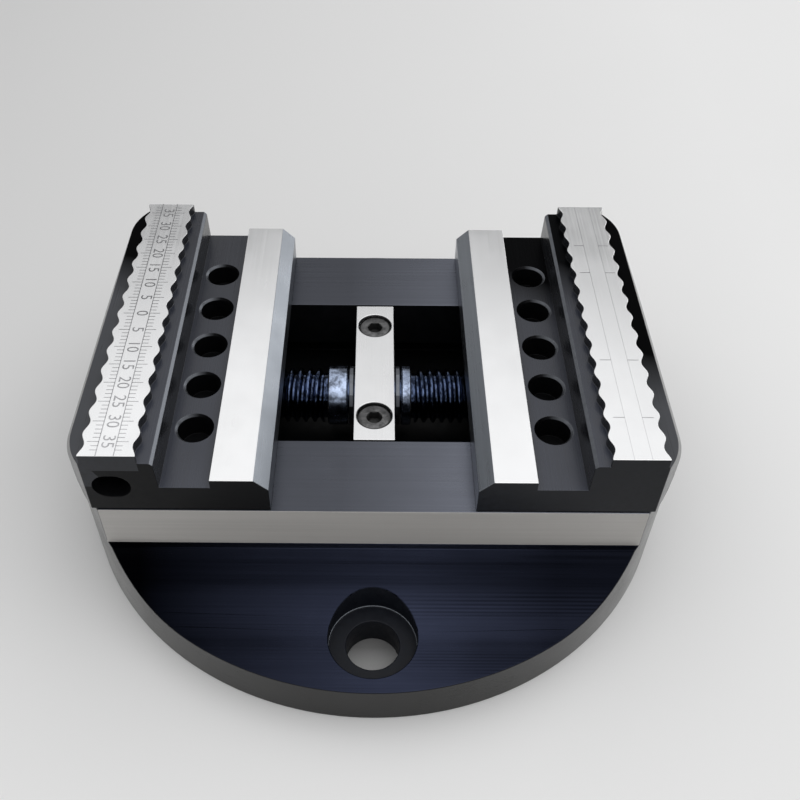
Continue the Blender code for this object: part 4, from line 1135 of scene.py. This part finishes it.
def cap_screw(name, size, seat, inward, body, node):
    """Build a socket head screw with its head's underside on a seat."""
    shank, head, height, flats = size["shank"], size["head"], size["height"], size["flats"]
    profile = [
        (shank - SCREW_EDGE, -size["length"]), (shank, SCREW_EDGE - size["length"]), (shank, 0),
        (head - HEAD_FOOT_EDGE, 0), (head, HEAD_FOOT_EDGE), (head, height - SCREW_EDGE),
        (head - HEAD_SHOULDER, height - HEAD_SHOULDER), (head - SCREW_EDGE, height),
    ]
    screw = to_object(lathed(profile, ALONG_Z, HOLE_STEPS), name)
    floor = height - size["socket"]
    rim = flats * SOCKET_MOUTH_SHARE
    mouth = [(rim - SOCKET_MOUTH, height - SOCKET_MOUTH), (rim + OVERRUN, height + OVERRUN)]
    cone = [(DRILL_POINT_RADIUS, floor - DRILL_POINT_DEPTH), (flats * DRILL_POINT_SHARE, floor + SKIN)]
    combine(screw, [
        ("DIFFERENCE", extruded(hexagon(flats), ALONG_Z, floor, height + OVERRUN)),
        ("DIFFERENCE", lathed(mouth, ALONG_Z, HOLE_STEPS)), ("DIFFERENCE", lathed(cone, ALONG_Z, HOLE_STEPS)),
    ])

    def choose(centre, normal):
        """Turned top, dark steel elsewhere."""
        return "head" if centre.z > height - SKIN else "screw"

    paint(screw, ("screw", "head"), choose)
    turn = Vector((0, 0, -1)).rotation_difference(Vector(inward)).to_matrix().to_4x4()
    screw.data.transform(Matrix.Translation(seat) @ turn)
    soften(screw, 0)
    return fit(screw, body, "screw_steel", node)


def build_bearing():
    """Build the bright bar over the spindle and the saddle under it."""
    parts = (
        ("bright_bearing_bar", AXIS_Z + GAP / 2, BODY_TOP, "bar", "ground_steel", "bearing_cap"),
        ("bearing_saddle_block", SLOT_FLOOR + GAP, AXIS_Z - GAP / 2, "jaw", "jaw_steel", "bearing_saddle"),
    )
    reach = BAR_HALF_THICKNESS + OVERRUN
    shank_way = BEARING_SCREW["shank"] + GAP
    head_way = BEARING_SCREW["head"] + GAP
    screw_way = [
        (shank_way, SLOT_FLOOR - OVERRUN), (shank_way, BEARING_SCREW_SEAT),
        (head_way, BEARING_SCREW_SEAT), (head_way, BODY_TOP + OVERRUN),
    ]
    pin_way = rod(DOWEL_RADIUS + GAP, SLOT_FLOOR - OVERRUN, DOWEL_HOLE_TOP)
    for name, low, high, finish, slot, node in parts:
        corner = Vector((BAR_HALF_THICKNESS, BAR_HALF_LENGTH, high))
        block = box_bmesh((-BAR_HALF_THICKNESS, -BAR_HALF_LENGTH, low), corner)
        part = to_object(block, name, MATERIALS[finish])
        tools = [("DIFFERENCE", lathed(rod(BEARING_BORE, -reach, reach), ALONG_X, HOLE_STEPS, AXIS))]
        for side in (-1, 1):
            centre = Vector((0, side * BEARING_SCREW_Y, 0))
            tools.append(("DIFFERENCE", lathed(screw_way, ALONG_Z, HOLE_STEPS, centre)))
            if node == "bearing_saddle":
                centre = Vector((0, side * DOWEL_Y, 0))
                tools.append(("DIFFERENCE", lathed(pin_way, ALONG_Z, HOLE_STEPS // 2, centre)))
        combine(part, tools)
        soften(part, BAR_EDGE_BREAK)
        fit(part, "base", slot, node)


def build_nut(side, word):
    """Build one flanged bronze nut with its screw seats."""
    inner = FOOT_INNER - GAP - FLANGE_THICKNESS
    face = FOOT_INNER - GAP
    flange = box_bmesh(
        (inner, -FLANGE_HALF_WIDTH, AXIS_Z - FLANGE_HALF_HEIGHT),
        (face, FLANGE_HALF_WIDTH, AXIS_Z + FLANGE_HALF_HEIGHT),
    )
    corners = [edge for edge in flange.edges if abs(edge.verts[0].co.x - edge.verts[1].co.x) > MM]
    bmesh.ops.bevel(
        flange, geom=corners, offset=NUT_CORNER, segments=1, profile=0.5, affect="EDGES", material=-1,
    )
    if side < 0:
        bmesh.ops.scale(flange, vec=(-1, 1, 1), verts=flange.verts)
        bmesh.ops.recalc_face_normals(flange, faces=flange.faces)
    nut = to_object(flange, f"{word}_flanged_nut", MATERIALS["bronze"])
    barrel = rod(BARREL_RADIUS, side * (inner + face) / 2, side * (face + BARREL_LENGTH))
    bore = rod(NUT_BORE, side * (inner - OVERRUN), side * (face + BARREL_LENGTH + OVERRUN))
    tools = [
        ("UNION", lathed(barrel, ALONG_X, HOLE_STEPS, AXIS)),
        ("DIFFERENCE", lathed(bore, ALONG_X, HOLE_STEPS, AXIS)),
    ]
    seat = inner + NUT_SEAT_DEPTH
    for end in (-1, 1):
        way = [
            (NUT_SCREW["head"] + GAP, side * (inner - OVERRUN)), (NUT_SCREW["head"] + GAP, side * seat),
            (NUT_SCREW["shank"] + GAP, side * seat), (NUT_SCREW["shank"] + GAP, side * (face + OVERRUN)),
        ]
        centre = AXIS + Vector((0, end * NUT_SCREW_Y, 0))
        tools.append(("DIFFERENCE", lathed(way, ALONG_X, HOLE_STEPS // 2, centre)))
    combine(nut, tools)
    soften(nut, NUT_EDGE_BREAK)
    fit(nut, f"{word}_carriage", "nut_bronze", f"{word}_nut")
    for end, place in ((-1, "front"), (1, "rear")):
        under_head = Vector((side * (seat - GAP), end * NUT_SCREW_Y, AXIS_Z))
        cap_screw(
            f"{word}_flange_screw_{place}", NUT_SCREW, under_head, (side, 0, 0), f"{word}_carriage",
            f"{word}_nut_screw_{place}",
        )


def finish_carried_nodes():
    """Give the small CAD pieces that stay their finishes."""
    for name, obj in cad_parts.items():
        if name.startswith("thrust_washer"):
            key, slot = "washer", "ground_steel"
        elif name.startswith("saddle_dowel"):
            key, slot = "screw", "screw_steel"
        else:
            continue
        obj.data.materials.clear()
        obj.data.materials.append(MATERIALS[key])


def build_floor(stage):
    """Build the pale floor, with painted shade at the back left and a painted shadow under the vise, that
    keeps the vise's cast shadow.
    """
    bm = bmesh.new()
    bmesh.ops.create_grid(bm, x_segments=1, y_segments=1, size=FLOOR_HALF_SIZE)
    colour = tuple(stage.floor_colour)
    recipe = Recipe("pale_floor", colour, 0.6, 0.0)
    place = recipe.node("ShaderNodeSeparateXYZ", {"Vector": recipe.place})
    across = recipe.ramp(place.outputs["X"], *FLOOR_FADE_ACROSS)
    along = recipe.ramp(place.outputs["Y"], *FLOOR_FADE_ALONG)
    cloud = recipe.noise(FLOOR_GRAIN, detail=3.0)
    shade = recipe.blend(across, scaled(colour, FLOOR_PAINTED_SHADE_SHARE), colour)
    shade = recipe.blend(along, shade, colour)
    shade = recipe.blend(recipe.ramp(cloud, 0.35, 0.7, 0.0, 0.12), shade, scaled(colour, FLOOR_CLOUD_SHARE))
    reach = recipe.node("ShaderNodeVectorMath", {"Vector": recipe.place}, operation="LENGTH")
    # Painted shadow under the vise
    under = recipe.ramp(reach.outputs["Value"], BODY_RADIUS - 15 * MM, BODY_RADIUS - 3 * MM)
    recipe.colour(recipe.blend(under, scaled(colour, FLOOR_PAINTED_SHADOW_SHARE), shade))
    recipe.roughness(recipe.ramp(cloud, 0.3, 0.7, 0.55, 0.7))
    floor = to_object(bm, "floor", recipe.material)


def build_world():
    """Light the vise from a pale studio sky in bands of unlike brightness."""
    world = bpy.data.worlds.new("studio")
    world.use_nodes = True
    bpy.context.scene.world = world
    tree = world.node_tree
    background = tree.nodes["Background"]
    place = tree.nodes.new("ShaderNodeTexCoord")
    split = tree.nodes.new("ShaderNodeSeparateXYZ")
    tree.links.new(place.outputs["Generated"], split.inputs[0])
    ramp = tree.nodes.new("ShaderNodeValToRGB")
    tree.links.new(split.outputs["Z"], ramp.inputs["Fac"])
    elements = ramp.color_ramp.elements
    elements.remove(elements[0])
    for index, (height, value) in enumerate(SKY_STOPS):
        element = elements[0] if index == 0 else elements.new(height)
        element.position = height
        element.color = (value, value, value, 1.0)
    tree.links.new(ramp.outputs["Color"], background.inputs["Color"])
    background.inputs["Strength"].default_value = 1.0


def build_lamp(name, power, size, place, target):
    """Add a soft square lamp that points at a target."""
    data = bpy.data.lights.new(name, "AREA")
    data.energy = power
    data.size = size
    lamp = bpy.data.objects.new(name, data)
    lamp.location = place
    lamp.rotation_euler = (Vector(target) - Vector(place)).to_track_quat("-Z", "Y").to_euler()
    bpy.context.scene.collection.objects.link(lamp)


def build_camera(stage):
    """Stand the camera where the photograph was taken."""
    data = bpy.data.cameras.new("camera")
    data.lens = stage.lens
    data.sensor_width = SENSOR_WIDTH
    data.shift_x, data.shift_y = CAMERA_SHIFT
    data.clip_start = CAMERA_NEAR
    camera = bpy.data.objects.new("camera", data)
    aim = (CAMERA_TARGET - CAMERA_PLACE).to_track_quat("-Z", "Y").to_matrix()
    roll = Matrix.Rotation(math.radians(CAMERA_ROLL), 3, "Z")
    camera.location = CAMERA_PLACE
    camera.rotation_euler = (aim @ roll).to_euler()
    bpy.context.scene.collection.objects.link(camera)
    bpy.context.scene.camera = camera


class VISE_OT_stage(bpy.types.Operator):
    """Add the floor, the lamps, the sky and the camera"""

    bl_idname = "vise.stage"
    bl_label = "Stage"

    def execute(self, context):
        stage = context.scene.vise_stage
        context.scene.view_settings.view_transform = "Standard"
        build_floor(stage)
        build_world()
        build_lamp("key", stage.key_power, **KEY_LAMP)
        build_lamp("side", stage.side_power, **SIDE_LAMP)
        build_camera(stage)
        return {"FINISHED"}


class VISE_OT_materials(bpy.types.Operator):
    """Make the finishes and give them to the CAD pieces that stay"""

    bl_idname = "vise.materials"
    bl_label = "Finishes"

    def execute(self, context):
        make_materials(context.scene.vise_finishes)
        finish_carried_nodes()
        return {"FINISHED"}


class VISE_OT_body(bpy.types.Operator):
    """Build the round base block"""

    bl_idname = "vise.body"
    bl_label = "Base block"

    def execute(self, context):
        build_body(context.scene.vise_sizes)
        return {"FINISHED"}


class VISE_OT_jaws(bpy.types.Operator):
    """Build both serrated jaws and the engraved scale"""

    bl_idname = "vise.jaws"
    bl_label = "Jaws"

    def execute(self, context):
        for side, word in ((-1, "left"), (1, "right")):
            build_jaw(side, word, context.scene.vise_sizes)
        build_scale(context.scene.vise_sizes)
        build_setting_marks(context.scene.vise_sizes)
        return {"FINISHED"}


class VISE_OT_spindle(bpy.types.Operator):
    """Build the spindle with its two threads"""

    bl_idname = "vise.spindle"
    bl_label = "Spindle"

    def execute(self, context):
        build_spindle(context.scene.vise_sizes)
        return {"FINISHED"}


class VISE_OT_bearing(bpy.types.Operator):
    """Build the centre bearing and its screws"""

    bl_idname = "vise.bearing"
    bl_label = "Centre bearing"

    def execute(self, context):
        build_bearing()
        for side, word in ((-1, "front"), (1, "rear")):
            seat = Vector((0, side * BEARING_SCREW_Y, BEARING_SCREW_SEAT + GAP))
            cap_screw(f"bar_screw_{word}", BEARING_SCREW, seat, (0, 0, -1), "base", f"bearing_screw_{word}")
        return {"FINISHED"}


class VISE_OT_nuts(bpy.types.Operator):
    """Build the two flanged nuts and their screws"""

    bl_idname = "vise.nuts"
    bl_label = "Nuts"

    def execute(self, context):
        for side, word in ((-1, "left"), (1, "right")):
            build_nut(side, word)
        return {"FINISHED"}


class VISE_PT_panel(bpy.types.Panel):
    """Sizes, finishes and steps of the vise"""

    bl_idname = "VISE_PT_panel"
    bl_label = "Self-centering vise"
    bl_space_type = "VIEW_3D"
    bl_region_type = "UI"
    bl_category = "Vise"

    def draw(self, context):
        for group in (context.scene.vise_sizes, context.scene.vise_finishes, context.scene.vise_stage):
            box = self.layout.box()
            for name in group.__annotations__:
                box.prop(group, name)
        for step in STEPS:
            self.layout.operator(step.bl_idname)


GROUPS = {"vise_sizes": ViseSizes, "vise_finishes": ViseFinishes, "vise_stage": ViseStage}
STEPS = (
    VISE_OT_materials, VISE_OT_stage, VISE_OT_body, VISE_OT_jaws, VISE_OT_spindle, VISE_OT_bearing,
    VISE_OT_nuts,
)


def register():
    """Register every class and hang the settings on the scene."""
    for group in GROUPS.values():
        bpy.utils.register_class(group)
    for cls in (*STEPS, VISE_PT_panel):
        bpy.utils.register_class(cls)
    for name, group in GROUPS.items():
        setattr(bpy.types.Scene, name, PointerProperty(type=group))


def unregister():
    """Take the settings off the scene and unregister every class."""
    for name in GROUPS:
        delattr(bpy.types.Scene, name)
    for cls in (VISE_PT_panel, *reversed(STEPS)):
        bpy.utils.unregister_class(cls)
    for group in reversed(GROUPS.values()):
        bpy.utils.unregister_class(group)


def main():
    """Build the whole scene in order."""
    register()
    bpy.ops.vise.materials()
    bpy.ops.vise.stage()
    bpy.ops.vise.body()
    bpy.ops.vise.jaws()
    bpy.ops.vise.spindle()
    bpy.ops.vise.bearing()
    bpy.ops.vise.nuts()


if __name__ == "__main__":
    main()
